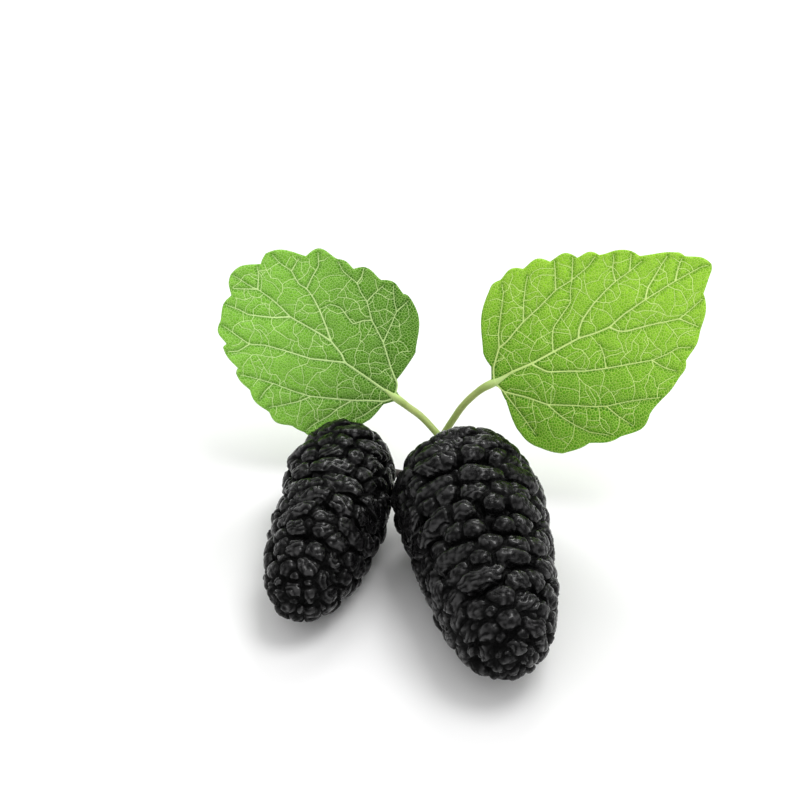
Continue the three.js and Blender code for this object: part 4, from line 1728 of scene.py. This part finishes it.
@dataclass(frozen=True)
class Shoot:
    """The short twig with the two petioles and the two berry stalks, grown as one piece."""

    node: str = "shoot"
    petiole_turn: float = 1.6
    petiole_reach: float = 3.0
    step: float = 0.25
    sides: int = 20
    voxel: float = 0.1
    flare_length: float = 0.25
    mid_limb: float = 0.85
    # Reach along -X and top height of the painted shadow on the small berry's stalk.
    shadow_reach: Pair = (3.6, 5.0)
    shadow_top: float = 6.0
    foot_reach: Pair = (-1.6, 0.7)
    petiole_start: float = 0.1
    petiole_points: int = 12
    petiole_thin: float = 0.8
    petiole_taper: Pair = (-0.15, 1)
    soften_rounds: int = 3
    slow_swell: Triple = (0.02, 0.8, 5.0)
    fast_swell: Triple = (0.012, 3.5, 9.0)
    cut_edge: Pair = (-0.12, -0.02)
    twig: Limb = Limb(((-2.8, 19.9, 5.7), (-2.7, 19.6, 3.6), (-1.6, 18.9, 1.2)), (0.4, 0.9))
    others: tuple[Limb, ...] = (
        Limb(((-2.8, 19.9, 5.3), (-4.75, 21.85, 6.5)), (0.36, 0.44), LEFT_LEAF),
        Limb(((-2.9, 19.9, 5.3), (-1.9, 19.95, 7.3), (-0.6, 20.0, 9.6)), (0.36, 0.44), RIGHT_LEAF),
        Limb(((-2.5, 19.5, 3.6), (-2.35, 17.6, 5.7), (-2.1, 14.05, 7.15), (-1.95, 13.1, 7.2)), (0.5, 0.6)),
        Limb(((-2.5, 19.4, 2.8), (-5.2, 18.9, 1.5), (-8.4, 19.6, 1.5), (-11.2, 21.1, 3.2),
              (-12.4, 19.65, 5.35), (-12.42, 18.9, 5.6)), (0.45, 0.5)),
    )

    def path(self, limb: Limb) -> tuple[Array, Array]:
        """Smooth course of a limb.

        Args:
            limb: The limb.

        Returns:
            Its points and its radius at each of them.
        """
        route = [np.array(p) for p in limb.route]
        if limb.leaf:
            along = unit(np.subtract(limb.leaf.tip, limb.leaf.base))
            route += [np.array(limb.leaf.base) + along * back for back in (-self.petiole_turn, 0)]
        path = smooth_path(np.array(route), self.step)
        share = path_shares(path)
        slim = limb.radii[0] + (limb.radii[1] * self.mid_limb - limb.radii[0]) * share
        radii = slim + limb.radii[1] * (1 - self.mid_limb) * smoothstep(share, 1 - self.flare_length, 1)
        if limb.leaf:
            reach = np.linspace(self.petiole_start, 1, self.petiole_points)
            path = np.concatenate([path, path[-1] + reach[:, None] * self.petiole_reach * along])
            thin = 1 - self.petiole_thin * smoothstep(reach, *self.petiole_taper)
            radii = np.concatenate([radii, radii[-1] * thin])
        return path, radii

    def foot(self, places: Array) -> Array:
        """Shares of the shoot's skin that are as pale as the leaves' ribs.

        Args:
            places: Places on the skin.

        Returns:
            The share at each place, from 0 to 1.
        """
        pale = np.zeros(len(places))
        for limb in self.others:
            if limb.leaf:
                base, tip = np.array(limb.leaf.base), np.array(limb.leaf.tip)
                away = places - base
                near = np.linalg.norm(away, axis=1) < math.dist(base, tip) / 4
                pale += near * smoothstep(away @ unit(tip - base), *self.foot_reach)
        return pale

    def build(self, tree: NodeTree, material: Material) -> None:
        """Builds the shoot.

        Args:
            tree: The node tree for limbs.
            material: Its material.
        """
        paths = [self.path(limb) for limb in (self.twig, *self.others)]
        bodies = limbs(f"{self.node}_limbs", paths, tree, self.sides, material)
        shoot = melt(bodies, f"{self.node}_skin", self.voxel, self.soften_rounds)
        places, normals = vertices_of(shoot.data)
        slow, fast = (depth * noise_of(places * scale, shift)
                      for depth, scale, shift in (self.slow_swell, self.fast_swell))
        places += normals * (slow + fast)[:, None]
        shoot.data.vertices.foreach_set("co", places.ravel())
        end, before = np.array(self.twig.route[-1]), np.array(self.twig.route[-2])
        beyond = (places - end) @ unit(end - before)
        # Painted shadow: the stalk out to the small berry, below the top height, is darkened near-black.
        stain = smoothstep(-places[:, 0], *self.shadow_reach) * (places[:, 2] < self.shadow_top)
        mark(shoot.data, cut=smoothstep(beyond, *self.cut_edge), foot=self.foot(places), stain=stain)
        finish_piece(shoot, self.node, material)


@dataclass(frozen=True)
class Lamp:
    """A square lamp that shines at the origin, in metres and watts."""

    name: str
    place: Point
    size: float
    power: float

    def hang(self) -> None:
        """Adds the lamp to the scene."""
        data = bpy.data.lights.new(self.name, "AREA")
        data.size = self.size
        data.energy = self.power
        obj = bpy.data.objects.new(self.name, data)
        obj.location = self.place
        obj.rotation_euler = (-Vector(self.place)).to_track_quat("-Z", "Y").to_euler()
        bpy.context.scene.collection.objects.link(obj)


@dataclass(frozen=True)
class Studio:
    """Pale floor, soft light from above, and the camera."""

    target: Point = (-7.0, 22.8, 8.0)
    elevation: float = math.radians(37)
    distance: float = 190.8
    lens: float = 85.0
    sensor: float = 36.0
    clip_start: float = 0.01
    floor_size: float = 3000.0
    floor_tone: float = 0.93
    floor_cloud: float = 0.01
    cloud_scale: float = 9.0
    floor_rough: float = 0.7
    floor_specular: float = 0.2
    sky_strength: float = 0.86
    lamps: tuple[Lamp, ...] = (
        Lamp("overhead", place=(0.16, 0.02, 0.5), size=0.24, power=1.0),
        Lamp("behind", place=(0.08, 0.36, 0.34), size=0.16, power=0.5),
    )

    def build(self) -> None:
        """Sets up the floor, the light and the camera."""
        self.floor()
        self.light()
        self.camera()

    def floor(self) -> None:
        """Lays the floor."""
        half = self.floor_size / 2
        corners = [(-half, -half, 0), (half, -half, 0), (half, half, 0), (-half, half, 0)]
        obj = working_object("floor", np.array(corners), faces=[(0, 1, 2, 3)])
        obj.data.transform(Matrix.Scale(MM, 4))
        material, sketch, shader = new_material("pale floor")
        values = {"Vector": sketch.place(), "Scale": self.cloud_scale, "Detail": 2.0}
        tones = (self.floor_tone - self.floor_cloud, self.floor_tone + self.floor_cloud)
        tone = sketch.ramp(sketch.out("ShaderNodeTexNoise", values), *NOISE_RANGE, *tones)
        sketch.join(shader, {
            "Base Color": tone, "Roughness": self.floor_rough, "Specular IOR Level": self.floor_specular,
        })
        obj.data.materials.append(material)

    def light(self) -> None:
        """Hangs the lamps under a white sky."""
        scene = bpy.context.scene
        scene.world = scene.world or bpy.data.worlds.new("studio")
        scene.world.use_nodes = True
        sky = scene.world.node_tree.nodes["Background"]
        sky.inputs["Color"].default_value = (1, 1, 1, 1)
        sky.inputs["Strength"].default_value = self.sky_strength
        for lamp in self.lamps:
            lamp.hang()
        scene.view_settings.view_transform = "Standard"

    def camera(self) -> None:
        """Sets the camera at its angle, looking at the middle of the view."""
        data = bpy.data.cameras.new("camera")
        data.lens = self.lens
        data.sensor_width = self.sensor
        data.clip_start = self.clip_start
        camera = bpy.data.objects.new("camera", data)
        back = np.array((0, -math.cos(self.elevation), math.sin(self.elevation)))
        camera.location = (np.array(self.target) + back * self.distance) * MM
        camera.rotation_euler = Euler((math.pi / 2 - self.elevation, 0, 0))
        bpy.context.scene.collection.objects.link(camera)
        bpy.context.scene.camera = camera


# Each deep green is its bright green in painted shade, for the leaf's base.
DEEP_GREEN = LeafFinish(
    name="deep leaf", deep=(0.11, 0.32, 0.012), bright=(0.33, 0.73, 0.07), net=(0.60, 0.95, 0.25),
    rib=(0.76, 1.0, 0.42), back=(0.24, 0.42, 0.14),
)
BRIGHT_GREEN = LeafFinish(
    name="bright leaf", deep=(0.18, 0.50, 0.012), bright=(0.45, 0.86, 0.045), net=(0.70, 1.0, 0.18),
    rib=(0.78, 1.0, 0.34), back=(0.30, 0.50, 0.15),
)


def main() -> None:
    """Builds the sprig and its studio, piece by piece."""
    logging.basicConfig(level=logging.INFO, format="%(message)s")
    mottle = mottle_group()
    Studio().build()
    limb_nodes, drupelet_nodes, quilt_nodes = limb_tree(), drupelet_tree(), quilt_tree()
    skin = BerryFinish().material(mottle)
    for form in (LARGE_BERRY, SMALL_BERRY):
        Berry(form).build(drupelet_nodes, skin)
    Shoot().build(limb_nodes, ShootFinish().material(mottle))
    net = net_group(Leaf.fine_spacing)
    leaves = ((LEFT_LEAF, Slot.DEEP_LEAF, DEEP_GREEN), (RIGHT_LEAF, Slot.BRIGHT_LEAF, BRIGHT_GREEN))
    for form, slot, finish in leaves:
        leaf = Leaf(form, slot)
        leaf.blade(quilt_nodes, finish.blade(mottle, net))
        leaf.ribs(limb_nodes, finish.ribs(mottle))


if __name__ == "__main__":
    main()
